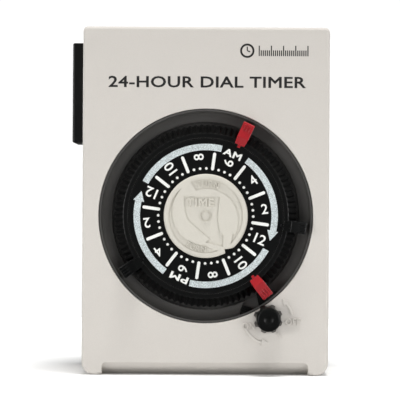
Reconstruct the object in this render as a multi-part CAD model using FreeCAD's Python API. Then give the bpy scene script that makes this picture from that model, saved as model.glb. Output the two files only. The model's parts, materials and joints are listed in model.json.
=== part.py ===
import FreeCAD, Part
import math
import os

# A plug-in 24-hour mechanical timer. Millimetres, +Z up, the front faces -Y and +X is the right-hand
# side seen from the front. The origin is the middle of the face that the timer stands on.
# Most places along Y are written as a depth: the distance behind the front face of the casing.

# --- casing ---
case_w = 95.0
case_h = 134.0
case_d = 56.0
cover_d = 42.0              # depth of the front cover; the rear cover makes up the rest
wall = 2.4
corner_bottom_r = 5.0
corner_top_r = 1.8
front_edge_r = 1.2
rear_edge_r = 2.5
least_corner_r = 0.8        # inside corners of the shell, where the outside ones leave less
grip_w = 79.5               # slanted recess along the bottom front edge
grip_h = 5.0
grip_d = 6.0
case_screw_r = 1.5
case_screw_head_r = 3.0
boss_wall = 1.7
lip_gap = 0.15

# --- clearances ---
running_gap = 0.05          # radial, a shaft in its bearing
body_gap = 0.4              # between pieces that move past each other
window_gap = 0.3            # dial well in the cover's round window
socket_gap = 0.1            # receptacle block in the cover's side window
through = 60.0              # length of a cut that goes right through a piece

# --- dial ---
dial_z = 61.3
dial_r = 35.4               # over the tips of the teeth
dial_teeth = 96             # one tooth for each quarter of an hour
tooth_depth = 1.0
tooth_half_angle = 40.0
tooth_phase = 10.25         # clockwise from the top, the middle of one gap
ring_land = 1.8             # flat front band of the ring
ring_slope_w = 3.6          # slanted, ribbed band of the ring
ring_slope_d = 4.0
ring_front = 0.6
ring_rear = 8.2
plate_t = 0.6
plate_hole_r = 12.0
web_t = 2.0
post_r = 3.0
hub_wall = 4.0
time_disc_r = 16.15
time_disc_t = 2.6
time_disc_front = -2.0

# --- dial well ---
tripper_overhang = 3.8      # how far a tripper reaches past the teeth
tripper_w = 4.6
well_gap = 1.2              # between the trippers and the well's side
well_lip = 0.6
well_sweep_r = 5.3          # rounded bottom corner of the well, outside
well_side_d = 3.0           # depth where the bowl's side turns into its hollow slope
well_floor = 9.5
well_t = 1.5
flange_w = 2.4
flange_t = 1.6
tab_angles = (45.0, 115.0, 225.0, 315.0)
peg_r = 1.1
peg_reach = 1.3             # pegs of the cover, outside the well's flange
boss_spots = ((2.7, 43.0), (1.5, 175.0))    # bosses: how far inside the teeth, and clockwise from the top

# --- switch ---
star_r = 10.4
star_teeth = 8
star_front = 6.0
star_t = 2.0
star_phase = 22.5
knob_angle = 148.4          # clockwise from the top, about the dial's centre
knob_r = 5.6
knob_h = 6.6
knob_lobes = 8
knob_phase = 20.0
switch_shaft_r = 2.0
cam_r = 5.6
cam_front = 18.0
cam_t = 4.0
blade_w = 5.0
blade_t = 0.5
contact_gap = 1.0

# --- movement ---
frame_front = 14.0
frame_t = 1.2
post_wall_r = 3.0
post_low = 34.3             # frame posts, below the dial's centre
post_high = 25.6            # frame posts, above the dial's centre
plate_screw_r = 1.2
plate_screw_head_r = 2.4
gear_module = 0.6
dial_gear_teeth = 72
pinion_teeth = 12
train_module = 0.4
train_wheel_teeth = 36
motor_offset = 12.0         # motor axis, to the right of the output shaft
motor_r = 22.0
can_t = 0.8
can_len = 17.0
gearcase_len = 5.8
output_shaft_r = 1.5
idler_shaft_r = 0.8
rotor_shaft_r = 1.0
rotor_r = 7.0
motor_screw_r = 1.5
ear_r = 3.4                 # the lugs that hold the motor to the frame

# --- plug and receptacle (a standard 15 A three-pin pattern) ---
pin_pitch = 12.7            # between the two flat pins
ground_drop = 11.9          # round pin, below the line of the flat pins
flat_pin_t = 1.5
hot_pin_h = 6.35
neutral_pin_h = 7.9
flat_pin_len = 17.0
ground_pin_r = 2.38
ground_tail_r = 2.0
ground_pin_len = 20.0
plug_z = 100.0
plug_block_t = 5.6
pin_tail = 12.0             # inner ends of the pins, in front of the rear face
block_out = 5.1             # how far the receptacle stands out of the side
block_len = 25.6
block_h = 39.2
block_top_drop = 5.2
block_front = 16.0
block_face_t = 3.0
block_flange_t = 2.0
block_flange_w = 2.0
slot_w = 1.9
hot_slot_h = 6.9
neutral_slot_h = 8.4
ground_hole_r = 2.6
strip_t = 1.2
strip_w = 4.0

# --- places that follow from the sizes above ---
tripper_r = dial_r + tripper_overhang
well_r = tripper_r + well_gap
window_r = well_r + well_lip + window_gap
flange_r = window_r + flange_w
band_r = dial_r - ring_slope_w          # outer edge of the ring's flat band
plate_r = band_r - ring_land            # edge between the ring and the dial plate
web_front = ring_front + 0.9
hub_r = post_r + hub_wall
gear_front = well_floor + well_t + 0.5
gear_rear = gear_front + 2.0
frame_rear = frame_front + frame_t
knob_reach = dial_r + star_r + 0.46
knob_x = knob_reach * math.sin(math.radians(knob_angle))
knob_z = dial_z + knob_reach * math.cos(math.radians(knob_angle))
output_x = -gear_module * (dial_gear_teeth + pinion_teeth) / 2.0
motor_x = output_x + motor_offset
train_c = train_module * (train_wheel_teeth + pinion_teeth) / 2.0
idler_x = output_x + motor_offset / 2.0
idler_z = dial_z + math.sqrt(train_c ** 2 - (motor_offset / 2.0) ** 2)
gearcase_rear = frame_rear + gearcase_len
can_rear = gearcase_rear + can_len
plate_half_w = case_w / 2.0 - wall - block_flange_t - 0.15
post_x = plate_half_w - 3.2
post_zs = (dial_z - post_low, dial_z + post_high)
block_x0 = -case_w / 2.0 - block_out
block_x1 = block_x0 + block_len
block_z1 = case_h - block_top_drop
block_z0 = block_z1 - block_h
block_rear = cover_d - 0.3
block_mid = (block_front + block_rear) / 2.0
slot_z = block_z0 + 23.9
socket_ground_z = slot_z - ground_drop
boss_r = case_screw_r + boss_wall
boss_x = case_w / 2.0 - wall - 4.1
boss_places = (
    (boss_x, wall + 4.6),
    (-boss_x, wall + 4.6),
    (boss_x, case_h - wall - 4.6),
    (block_x1 + 9.0, case_h - wall - 4.6),
)
tail_d = case_d - pin_tail
contact_x = knob_x + 5.7
switch_block_x = knob_x - 22.3
switch_block_w = 8.0
hinge_x = switch_block_x + switch_block_w + 0.4
moving_z = knob_z + cam_r + 2.0         # underside of the moving blade
fixed_z = moving_z + blade_t + 0.9 + contact_gap + 0.9
blade_front = cam_front - 0.5
bus_hot_x = knob_x - 12.3


def depth(d):
    """The Y of a place that is d behind the front face."""
    return d - case_d / 2.0


def at(x, d, z):
    return FreeCAD.Vector(x, depth(d), z)


def box(x0, x1, d0, d1, z0, z1):
    return Part.makeBox(x1 - x0, d1 - d0, z1 - z0, at(x0, d0, z0))


def rod(x, z, r, d0, d1):
    return Part.makeCylinder(r, d1 - d0, at(x, d0, z), FreeCAD.Vector(0, 1, 0))


def tube(x, z, r_in, r_out, d0, d1):
    return rod(x, z, r_out, d0, d1).cut(rod(x, z, r_in, d0 - 1.0, d1 + 1.0))


def prism(points, d0, d1):
    """A straight-sided piece from (x, z) corners, from depth d0 to d1."""
    corners = [at(x, d0, z) for x, z in points]
    face = Part.Face(Part.makePolygon(corners + corners[:1]))
    return face.extrude(FreeCAD.Vector(0, d1 - d0, 0))


def turned(path, x=0.0, z=dial_z):
    """A piece turned about a line along Y. The path holds (r, d) corners; a pair of corners is an arc's
    middle and end."""
    edges = []
    first = at(x + path[0][0], path[0][1], z)
    last = first
    for step in path[1:] + path[:1]:
        if isinstance(step[0], tuple):
            middle = at(x + step[0][0], step[0][1], z)
            end = at(x + step[1][0], step[1][1], z)
            edges.append(Part.Arc(last, middle, end).toShape())
        else:
            end = at(x + step[0], step[1], z)
            edges.append(Part.makeLine(last, end))
        last = end
    face = Part.Face(Part.Wire(edges))
    return face.revolve(at(x, 0, z), FreeCAD.Vector(0, 1, 0), 360)


def clockwise(shape, angle, x=0.0, z=dial_z):
    """A copy turned clockwise, seen from the front, about a line along Y."""
    turned_copy = shape.copy()
    turned_copy.rotate(at(x, 0, z), FreeCAD.Vector(0, 1, 0), angle)
    return turned_copy


def polar(r, angle, x=0.0, z=dial_z):
    """The (x, z) of a place at radius r, clockwise from the top."""
    turn = math.radians(angle)
    return (x + r * math.sin(turn), z + r * math.cos(turn))


well_bosses = [polar(dial_r - inside, angle) for inside, angle in boss_spots]


def fuse(pieces):
    return pieces[0].multiFuse(pieces[1:]).removeSplitter()


def edges_along_y(shape, z):
    return [e for e in shape.Edges
            if abs(e.Vertexes[0].Z - z) < 1e-6 and abs(e.Vertexes[-1].Z - z) < 1e-6
            and abs(e.Vertexes[0].X - e.Vertexes[-1].X) < 1e-6
            and abs(e.Vertexes[0].Y - e.Vertexes[-1].Y) > 1e-6]


def edges_at_depth(shape, d):
    return [e for e in shape.Edges if all(abs(v.Y - depth(d)) < 1e-6 for v in e.Vertexes)]


def case_block(inset, d0, d1):
    """The casing's outline, moved inwards by inset, from depth d0 to d1."""
    half = case_w / 2.0 - inset
    shape = box(-half, half, d0, d1, inset, case_h - inset)
    shape = shape.makeFillet(max(corner_bottom_r - inset, least_corner_r), edges_along_y(shape, inset))
    return shape.makeFillet(max(corner_top_r - inset, least_corner_r), edges_along_y(shape, case_h - inset))


def grip_recess():
    """What is cut away along the bottom front edge: a slant with rounded upper corners."""
    y0 = depth(0.0)
    points = [(y0 - 1.0, grip_h), (y0, grip_h), (y0 + grip_d, 0.0), (y0 + grip_d, -1.0), (y0 - 1.0, -1.0)]
    corners = [FreeCAD.Vector(-grip_w / 2.0, y, z) for y, z in points]
    slant = Part.Face(Part.makePolygon(corners + corners[:1])).extrude(FreeCAD.Vector(grip_w, 0, 0))
    frame = box(-grip_w / 2.0, grip_w / 2.0, -2.0, grip_d + 2.0, -6.0, grip_h)
    frame = frame.makeFillet(grip_h * 0.4, edges_along_y(frame, grip_h))
    return slant.common(frame)


def grip_backing():
    """The wedge of plastic inside the cover that backs the slant."""
    slope = grip_h / grip_d
    length = math.hypot(grip_h, grip_d)
    shift = 0.85 * wall * length / grip_d
    z_at_wall = grip_h + shift - slope * wall
    y_at_wall = (grip_h + shift - wall) / slope
    half = case_w / 2.0 - wall
    points = [(wall, wall), (wall, z_at_wall), (y_at_wall, wall)]
    corners = [at(-half, d, z) for d, z in points]
    return Part.Face(Part.makePolygon(corners + corners[:1])).extrude(FreeCAD.Vector(2.0 * half, 0, 0))


def socket_window():
    """The opening in the left side that the receptacle block fills."""
    return box(-case_w / 2.0 - 1.0, -case_w / 2.0 + wall + 1.0, block_front - socket_gap, cover_d + 1.0,
               block_z0 - socket_gap, block_z1 + socket_gap)


def front_cover():
    shell = case_block(0.0, 0.0, cover_d)
    shell = shell.makeFillet(front_edge_r, edges_at_depth(shell, 0.0))
    hollow = case_block(wall, wall, cover_d + 1.0).cut(grip_backing())
    shell = shell.cut([hollow, grip_recess(), rod(0, dial_z, window_r, -1.0, wall + 1.0), socket_window(),
                       rod(knob_x, knob_z, switch_shaft_r + running_gap, -1.0, wall + 1.0)])
    added = []
    drilled = []
    for x in (-post_x, post_x):
        for z in post_zs:
            added.append(rod(x, z, post_wall_r, wall - 0.5, frame_front))
            drilled.append(rod(x, z, plate_screw_r, wall + 3.0, frame_front + 1.0))
    for x, z in boss_places:
        added.append(rod(x, z, boss_r, wall - 0.5, cover_d))
        drilled.append(rod(x, z, case_screw_r, cover_d - 15.0, cover_d + 1.0))
    peg_end = wall + flange_t
    for angle in tab_angles:
        x, z = polar(flange_r + peg_reach, angle)
        added.append(rod(x, z, peg_r, wall - 0.5, peg_end))
        added.append(rod(x, z, peg_r + 0.8, peg_end, peg_end + 0.8))
    return fuse([shell] + added).cut(drilled)


def rear_lip(x0, x1, z0, z1, toward):
    """One stretch of the locating lip, set in from the wall, with the root that ties it to the wall."""
    root = box(x0, x1, cover_d, cover_d + 3.0, z0, z1)
    tongue = box(x0, x1, cover_d - 2.5, cover_d, z0, z1)
    grown = lip_gap + 0.5
    if toward == "down":
        root = box(x0, x1, cover_d, cover_d + 3.0, z0 - grown, z1)
    if toward == "up":
        root = box(x0, x1, cover_d, cover_d + 3.0, z0, z1 + grown)
    if toward == "left":
        root = box(x0 - grown, x1, cover_d, cover_d + 3.0, z0, z1)
    if toward == "right":
        root = box(x0, x1 + grown, cover_d, cover_d + 3.0, z0, z1)
    return root.fuse(tongue)


def pin_places():
    """Flat pins as (x, z, height), in the order hot, neutral."""
    return ((pin_pitch / 2.0, plug_z, hot_pin_h), (-pin_pitch / 2.0, plug_z, neutral_pin_h))


def rear_cover():
    shell = case_block(0.0, cover_d, case_d)
    shell = shell.makeFillet(rear_edge_r, edges_at_depth(shell, case_d))
    inner = case_d - wall
    shell = shell.cut(case_block(wall, cover_d - 1.0, inner))
    lip_in = wall + lip_gap
    lip_t = 1.4
    side = case_w / 2.0 - lip_in
    added = [
        rear_lip(-boss_x + 6.0, boss_x - 6.0, lip_in, lip_in + lip_t, "down"),
        rear_lip(block_x1 + 16.0, boss_x - 6.0, case_h - lip_in - lip_t, case_h - lip_in, "up"),
        rear_lip(side - lip_t, side, 18.0, case_h - 18.0, "right"),
        rear_lip(-side, -side + lip_t, 18.0, block_z0 - 6.0, "left"),
        box(-pin_pitch, pin_pitch, inner - plug_block_t, inner + 0.5,
            plug_z - ground_drop - 5.5, plug_z + 8.0),
    ]
    drilled = [rod(0, plug_z - ground_drop, ground_tail_r, cover_d, case_d + 1.0)]
    for x, z, height in pin_places():
        drilled.append(box(x - flat_pin_t / 2.0, x + flat_pin_t / 2.0, cover_d, case_d + 1.0,
                           z - height / 2.0, z + height / 2.0))
    seat = case_d - 10.0
    for x, z in boss_places:
        added.append(rod(x, z, case_screw_head_r + boss_wall, cover_d, inner + 0.5))
        drilled.append(rod(x, z, case_screw_r + 0.2, cover_d - 1.0, case_d + 1.0))
        drilled.append(rod(x, z, case_screw_head_r + 0.3, seat, case_d + 1.0))
    whole = fuse([shell] + added)
    return whole.common(case_block(0.0, cover_d - 3.0, case_d + 1.0)).cut(drilled)


def cross_recess(x, z, r, d0, d1):
    arm = r * 0.16
    reach = r * 0.62
    return box(x - reach, x + reach, d0, d1, z - arm, z + arm).fuse(
        box(x - arm, x + arm, d0, d1, z - reach, z + reach))


def case_screws():
    seat = case_d - 10.0
    screws = []
    for x, z in boss_places:
        shank = rod(x, z, case_screw_r, cover_d - 14.0, seat)
        head = rod(x, z, case_screw_head_r, seat, seat + 2.2)
        screws.append(shank.fuse(head).cut(cross_recess(x, z, case_screw_head_r, seat + 1.0, seat + 3.0)))
    return Part.makeCompound(screws)


def well_outside():
    """The bowl's outside: a straight side, a rounded corner and a flat back."""
    centre_r = well_r - well_sweep_r
    centre_d = well_floor - well_sweep_r
    radius = well_sweep_r + well_t
    half = radius * math.sqrt(0.5)
    top = wall + 0.2
    return turned([(0.0, top), (well_r + well_t, top), (well_r + well_t, centre_d),
                   ((centre_r + half, centre_d + half), (centre_r, centre_d + radius)),
                   (0.0, centre_d + radius)])


def well_inside():
    """The space in the bowl: a straight side, a hollow slope under the trippers and the ring's pit."""
    foot_r = dial_r + 2.0 * body_gap
    foot_d = ring_rear - 2.0 * body_gap
    hollow_r = well_r - 0.28 * (well_r - foot_r)
    hollow_d = well_side_d + 0.64 * (foot_d - well_side_d)
    return turned([(0.0, -1.0), (well_r, -1.0), (well_r, well_side_d),
                   ((hollow_r, hollow_d), (foot_r, foot_d)), (foot_r, well_floor), (0.0, well_floor)])


def dial_well():
    cup_r = star_r + 0.5
    cup_floor = star_front + star_t + 0.6
    pieces = [well_outside(), rod(0, dial_z, well_r + well_lip, 0.8, wall + 0.3),
              rod(0, dial_z, flange_r, wall, wall + flange_t),
              rod(knob_x, knob_z, cup_r + well_t, wall, cup_floor + 1.4)]
    for angle in tab_angles:
        x, z = polar(flange_r + peg_reach, angle)
        pieces.append(rod(x, z, peg_r + 1.5, wall, wall + flange_t))
    solid = fuse(pieces)
    cup = rod(knob_x, knob_z, cup_r, wall, cup_floor)
    solid = solid.cut([well_inside(), cup, rod(0, dial_z, hub_r + body_gap, 0.0, 20.0),
                       rod(knob_x, knob_z, switch_shaft_r + running_gap, 0.0, 20.0)])
    bosses = []
    drilled = []
    for x, z in well_bosses:
        bosses.append(rod(x, z, 4.7, ring_rear + 0.5, well_floor + 0.5))
        bosses.append(rod(x, z, post_wall_r, well_floor + 0.5, frame_front))
    x, z = well_bosses[0]
    drilled.append(rod(x, z, plate_screw_r, well_floor + 0.5, frame_front + 1.0))
    for angle in tab_angles:
        x, z = polar(flange_r + peg_reach, angle)
        drilled.append(rod(x, z, peg_r, 0.0, 20.0))
    return fuse([solid] + bosses).cut(drilled)


def tooth_gap_cutters():
    """The V-shaped gaps between the teeth, along the slope and down the side of the ring."""
    spread = 2.2 * math.tan(math.radians(tooth_half_angle))
    start = (band_r, ring_front)
    corner = (dial_r - tooth_depth, ring_front + ring_slope_d)
    run_r = corner[0] - start[0]
    run_d = corner[1] - start[1]
    length = math.hypot(run_r, run_d)
    out_r = run_d / length * 2.2
    out_d = -run_r / length * 2.2
    along = [at(0, start[1], dial_z + start[0]),
             at(-spread, start[1] + out_d, dial_z + start[0] + out_r),
             at(spread, start[1] + out_d, dial_z + start[0] + out_r)]
    slope = Part.Face(Part.makePolygon(along + along[:1])).extrude(
        FreeCAD.Vector(0, run_d * 1.02, run_r * 1.02))
    side = Part.Face(Part.makePolygon([
        at(0, corner[1] - 0.6, dial_z + corner[0]), at(-spread, corner[1] - 0.6, dial_z + corner[0] + 2.2),
        at(spread, corner[1] - 0.6, dial_z + corner[0] + 2.2), at(0, corner[1] - 0.6, dial_z + corner[0])]))
    side = side.extrude(FreeCAD.Vector(0, ring_rear - corner[1] + 1.6, 0))
    pitch = 360.0 / dial_teeth
    slopes = [clockwise(slope, tooth_phase + pitch * n) for n in range(dial_teeth)]
    sides = [clockwise(side, tooth_phase + pitch * n) for n in range(dial_teeth)]
    return slopes, sides


def dial_ring():
    rim_in = dial_r - 2.4
    slope_end = ring_front + ring_slope_d
    web_rear = web_front + web_t
    profile = [
        (post_r + running_gap, web_front), (plate_r, web_front), (plate_r, ring_front), (band_r, ring_front),
        (dial_r, slope_end), (dial_r, ring_rear), (rim_in, ring_rear), (rim_in, slope_end + 1.0),
        (plate_r - 0.5, web_rear), (hub_r, web_rear), (hub_r, gear_front), (hub_r - 1.5, gear_front),
        (hub_r - 1.5, gear_rear), (post_r + running_gap, gear_rear),
    ]
    blank = turned(profile)
    slopes, sides = tooth_gap_cutters()
    return blank.cut(sides).cut(slopes)


def dial_plate():
    return tube(0, dial_z, plate_hole_r, plate_r - 0.2, web_front - plate_t, web_front)


def gear_outline(x, z, teeth, module, addendum, dedendum, tooth_at):
    """Corners of a straight-sided gear; tooth_at is the angle of one tooth's middle, from +X towards +Z."""
    pitch_r = module * teeth / 2.0
    step = 2.0 * math.pi / teeth
    points = []
    for n in range(teeth):
        middle = math.radians(tooth_at) + n * step
        for share, radius in ((-0.27, pitch_r - dedendum * module), (-0.10, pitch_r + addendum * module),
                              (0.10, pitch_r + addendum * module), (0.27, pitch_r - dedendum * module)):
            turn = middle + share * step
            points.append((x + radius * math.cos(turn), z + radius * math.sin(turn)))
    return points


def wheel(x, z, teeth, module, tooth_at, d0, d1, bore_r):
    blank = prism(gear_outline(x, z, teeth, module, 0.7, 1.15, tooth_at), d0, d1)
    return blank.cut(rod(x, z, bore_r, d0 - 1.0, d1 + 1.0))


def pinion(x, z, teeth, module, gap_at, d0, d1):
    half_step = 180.0 / teeth
    return prism(gear_outline(x, z, teeth, module, 0.85, 1.05, gap_at + half_step), d0, d1)


def dial_gear():
    return wheel(0, dial_z, dial_gear_teeth, gear_module, 180.0, gear_front, gear_rear, hub_r - 1.5)


def line_angle(x0, z0, x1, z1):
    return math.degrees(math.atan2(z1 - z0, x1 - x0))


train_a = (frame_rear + 0.5, frame_rear + 1.7)      # idler pinion in the output wheel
train_b = (frame_rear + 2.3, frame_rear + 3.5)      # rotor pinion in the idler wheel


def output_shaft():
    return rod(output_x, dial_z, output_shaft_r, gear_front - 0.1, gearcase_rear)


def output_pinion():
    blank = pinion(output_x, dial_z, pinion_teeth, gear_module, 0.0, gear_front - 0.1, gear_rear + 0.1)
    return blank.cut(rod(output_x, dial_z, output_shaft_r, 0.0, through))


def output_wheel():
    angle = line_angle(output_x, dial_z, idler_x, idler_z)
    return wheel(output_x, dial_z, train_wheel_teeth, train_module, angle, *train_a, output_shaft_r)


def idler_wheel():
    angle = line_angle(idler_x, idler_z, motor_x, dial_z)
    return wheel(idler_x, idler_z, train_wheel_teeth, train_module, angle, *train_b, idler_shaft_r)


def idler_pinion():
    """The idler's arbor with its pinion, cut from one bar."""
    angle = line_angle(idler_x, idler_z, output_x, dial_z)
    leaves = pinion(idler_x, idler_z, pinion_teeth, train_module, angle, train_a[0], train_b[0])
    return leaves.fuse(rod(idler_x, idler_z, idler_shaft_r, frame_front + 0.2, gearcase_rear - 0.2))


def rotor_shaft():
    angle = line_angle(motor_x, dial_z, idler_x, idler_z)
    leaves = pinion(motor_x, dial_z, pinion_teeth, train_module, angle, train_b[0], train_b[1] + 0.2)
    return leaves.fuse(rod(motor_x, dial_z, rotor_shaft_r, frame_front + 0.2, can_rear - 0.1))


def rotor_magnet():
    return tube(motor_x, dial_z, rotor_shaft_r, rotor_r, gearcase_rear + 3.0, can_rear - 4.0)


def ear_places():
    reach = motor_r + 4.0
    return ((motor_x, dial_z - reach), (motor_x, dial_z + reach))


def gearcase():
    inner_r = motor_r - 1.2
    cup = rod(motor_x, dial_z, motor_r, frame_rear, gearcase_rear)
    for x, z in ear_places():
        cup = cup.fuse(rod(x, z, ear_r, frame_rear, gearcase_rear))
        inward = ear_r if z < dial_z else -ear_r
        z0, z1 = sorted((z, z + 2.0 * inward))
        cup = cup.fuse(box(x - ear_r, x + ear_r, frame_rear, gearcase_rear, z0, z1))
    cut = [rod(motor_x, dial_z, inner_r, frame_rear - 1.0, gearcase_rear - 1.2),
           rod(output_x, dial_z, output_shaft_r + running_gap, frame_rear, gearcase_rear + 1.0),
           rod(idler_x, idler_z, idler_shaft_r + running_gap, frame_rear, gearcase_rear + 1.0),
           rod(motor_x, dial_z, rotor_shaft_r + running_gap, frame_rear, gearcase_rear + 1.0)]
    for x, z in ear_places():
        cut.append(rod(x, z, motor_screw_r, frame_rear - 1.0, gearcase_rear + 1.0))
    return cup.cut(cut)


def motor_can():
    can = rod(motor_x, dial_z, motor_r, gearcase_rear, can_rear)
    for x, z in ear_places():
        can = can.fuse(rod(x, z, ear_r, gearcase_rear, gearcase_rear + can_t))
        inward = ear_r if z < dial_z else -ear_r
        z0, z1 = sorted((z, z + 2.0 * inward))
        can = can.fuse(box(x - ear_r, x + ear_r, gearcase_rear, gearcase_rear + can_t, z0, z1))
    cut = [rod(motor_x, dial_z, motor_r - can_t, gearcase_rear - 1.0, can_rear - can_t),
           rod(motor_x, dial_z, rotor_shaft_r + running_gap, gearcase_rear, can_rear + 1.0)]
    for x, z in ear_places():
        cut.append(rod(x, z, motor_screw_r, gearcase_rear - 1.0, gearcase_rear + 2.0))
    return can.cut(cut)


def coil_bobbin():
    r_in = rotor_r + 2.0
    r_out = motor_r - can_t
    d0 = gearcase_rear + 1.5
    d1 = can_rear - can_t
    return turned([(r_in, d0), (r_out, d0), (r_out, d0 + 1.0), (r_in + 1.0, d0 + 1.0),
                   (r_in + 1.0, d1 - 1.0), (r_out, d1 - 1.0), (r_out, d1), (r_in, d1)], motor_x)


def motor_coil():
    outer_r = motor_r - can_t - 1.2
    return tube(motor_x, dial_z, rotor_r + 3.0, outer_r, gearcase_rear + 2.5, can_rear - can_t - 1.0)


def motor_screws():
    screws = []
    for x, z in ear_places():
        head_at = gearcase_rear + can_t
        shank = rod(x, z, motor_screw_r, frame_front, head_at)
        screws.append(shank.fuse(rod(x, z, 2.6, head_at, head_at + 1.8)))
    return Part.makeCompound(screws)


def frame_plate():
    z0 = knob_z - 7.9
    z1 = post_zs[1] + 3.6
    plate = box(-plate_half_w, plate_half_w, frame_front, frame_rear, z0, z1)
    corners = [e for e in plate.Edges if abs(e.Vertexes[0].Y - e.Vertexes[-1].Y) > 1e-6]
    plate = plate.makeFillet(3.0, corners)
    cut = [rod(0, dial_z, post_r, 0.0, through),
           rod(output_x, dial_z, output_shaft_r + running_gap, 0.0, through),
           rod(idler_x, idler_z, idler_shaft_r + running_gap, 0.0, through),
           rod(motor_x, dial_z, rotor_shaft_r + running_gap, 0.0, through),
           rod(knob_x, knob_z, switch_shaft_r + running_gap, 0.0, through)]
    for x, z in ear_places():
        cut.append(rod(x, z, motor_screw_r, 0.0, through))
    for x, z in plate_screw_places():
        cut.append(rod(x, z, plate_screw_r + 0.3, 0.0, through))
    return plate.cut(cut)


def plate_screw_places():
    places = [(x, z) for x in (-post_x, post_x) for z in post_zs]
    places.append(well_bosses[0])
    return tuple(places)


def plate_screws():
    screws = []
    for x, z in plate_screw_places():
        shank = rod(x, z, plate_screw_r, frame_front - 3.0, frame_front)
        neck = rod(x, z, plate_screw_r + 0.3, frame_front, frame_rear)
        head = rod(x, z, plate_screw_head_r, frame_rear, frame_rear + 1.8)
        whole = shank.multiFuse([neck, head])
        screws.append(whole.cut(cross_recess(x, z, plate_screw_head_r, frame_rear + 1.0, frame_rear + 3.0)))
    return Part.makeCompound(screws)


clip_front = ring_front + 0.1
clip_t = 0.5


def center_post():
    """The fixed spindle: the dial turns on it and the time disc is keyed to its flatted front end."""
    stem = rod(0, dial_z, post_r, ring_front, frame_rear)
    stem = stem.cut(tube(0, dial_z, post_r - 0.5, post_r + 1.0, clip_front, clip_front + clip_t))
    return stem.fuse(key_end())


def key_end():
    end = rod(0, dial_z, post_r - 1.0, ring_front - 1.8, ring_front)
    flat = box(-5.0, 5.0, ring_front - 3.0, ring_front, dial_z - post_r - 5.0, dial_z - post_r + 1.7)
    return end.cut(flat)


def retaining_clip():
    ring = tube(0, dial_z, post_r - 0.5, post_r + 2.0, clip_front, clip_front + clip_t)
    return ring.cut(box(-1.2, 1.2, clip_front - 1.0, clip_front + 2.0, dial_z, dial_z + post_r + 4.0))


def spring_washer():
    return tube(0, dial_z, post_r + 0.1, post_r + 2.0, gear_rear + 0.2, frame_front)


def time_disc():
    rear = time_disc_front + time_disc_t
    bevel = 0.7
    body = turned([(0.0, time_disc_front), (time_disc_r - bevel, time_disc_front),
                   (time_disc_r, time_disc_front + bevel), (time_disc_r, rear), (0.0, rear)])
    return body.cut(key_end())


def tripper(angle):
    """A clip over the ring: a roof-shaped top, a leg outside the teeth and a nub at the inner end."""
    ridge_r = band_r + 1.2
    inner_r = plate_r + 0.1
    slope_end = ring_front + ring_slope_d
    gap = 0.35
    profile = [
        (inner_r, -1.7), (ridge_r, -4.2), (tripper_r - 0.5, -2.8), (tripper_r, -2.2), (tripper_r, 3.4),
        (tripper_r - 1.4, star_front - body_gap), (dial_r + gap, star_front - body_gap),
        (dial_r + gap, slope_end - 0.1), (band_r + 0.15, ring_front - gap), (inner_r, ring_front - gap),
    ]
    half = tripper_w / 2.0
    slim = half - 0.45
    corners = [at(-half, d, dial_z + r) for r, d in profile]
    body = Part.Face(Part.makePolygon(corners + corners[:1])).extrude(FreeCAD.Vector(tripper_w, 0, 0))
    taper = prism([(-half, dial_z + tripper_r + 1.0), (-half, dial_z + ridge_r),
                   (-slim, dial_z + inner_r - 3.0), (slim, dial_z + inner_r - 3.0),
                   (half, dial_z + ridge_r), (half, dial_z + tripper_r + 1.0)], -6.0, 9.0)
    body = body.common(taper)
    nub = box(-0.6, 0.6, -1.5, ring_front - gap, dial_z + inner_r - 1.1, dial_z + inner_r + 1.0)
    return clockwise(fuse([body, nub]), angle)


def knob():
    top_r = knob_r - 1.0
    front = -knob_h - body_gap
    blank = turned([(0.0, front), (top_r - 0.6, front), (top_r, front + 0.6), (knob_r, -body_gap),
                    (0.0, -body_gap)], knob_x, knob_z)
    cut = [rod(knob_x, knob_z, switch_shaft_r, front + 1.6, 0.0)]
    for n in range(knob_lobes):
        x, z = polar(knob_r + 0.55, knob_phase + 360.0 / knob_lobes * (n + 0.5), knob_x, knob_z)
        cut.append(rod(x, z, 1.45, front - 1.0, 0.5))
    return blank.cut(cut)


def switch_shaft():
    return rod(knob_x, knob_z, switch_shaft_r, -knob_h - body_gap + 1.6, cam_front + cam_t + 0.4)


def star_wheel():
    points = []
    for n in range(star_teeth):
        middle = star_phase + 360.0 / star_teeth * n
        points.append(polar(star_r * 0.56, middle - 14.0, knob_x, knob_z))
        points.append(polar(star_r, middle - 3.5, knob_x, knob_z))
        points.append(polar(star_r, middle + 3.5, knob_x, knob_z))
        points.append(polar(star_r * 0.56, middle + 14.0, knob_x, knob_z))
    star = prism(points, star_front, star_front + star_t)
    return star.cut(rod(knob_x, knob_z, switch_shaft_r, 0.0, 20.0))


def switch_cam():
    half = cam_r * 0.8
    square = box(knob_x - half, knob_x + half, cam_front, cam_front + cam_t, knob_z - half, knob_z + half)
    round_part = rod(knob_x, knob_z, cam_r, cam_front, cam_front + cam_t)
    collar = rod(knob_x, knob_z, switch_shaft_r + 1.5, frame_rear + 0.4, cam_front)
    cam = clockwise(square.common(round_part), 45.0 / 2.0, knob_x, knob_z).fuse(collar)
    return cam.cut(rod(knob_x, knob_z, switch_shaft_r, 0.0, 40.0))


def switch_block():
    x1 = switch_block_x + switch_block_w
    body = box(switch_block_x, x1, frame_rear, frame_rear + 14.0, knob_z + 4.1, fixed_z + 2.6)
    slot = box(x1 - 4.0, x1, blade_front, blade_front + blade_w, fixed_z, fixed_z + blade_t)
    return body.cut(slot)


def fixed_contact():
    x0 = switch_block_x + switch_block_w - 4.0
    blade = box(x0, contact_x + 4.0, blade_front, blade_front + blade_w, fixed_z, fixed_z + blade_t)
    button = Part.makeCylinder(1.8, 0.9, at(contact_x, blade_front + blade_w / 2.0, fixed_z - 0.9))
    return blade.fuse(button)


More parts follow.
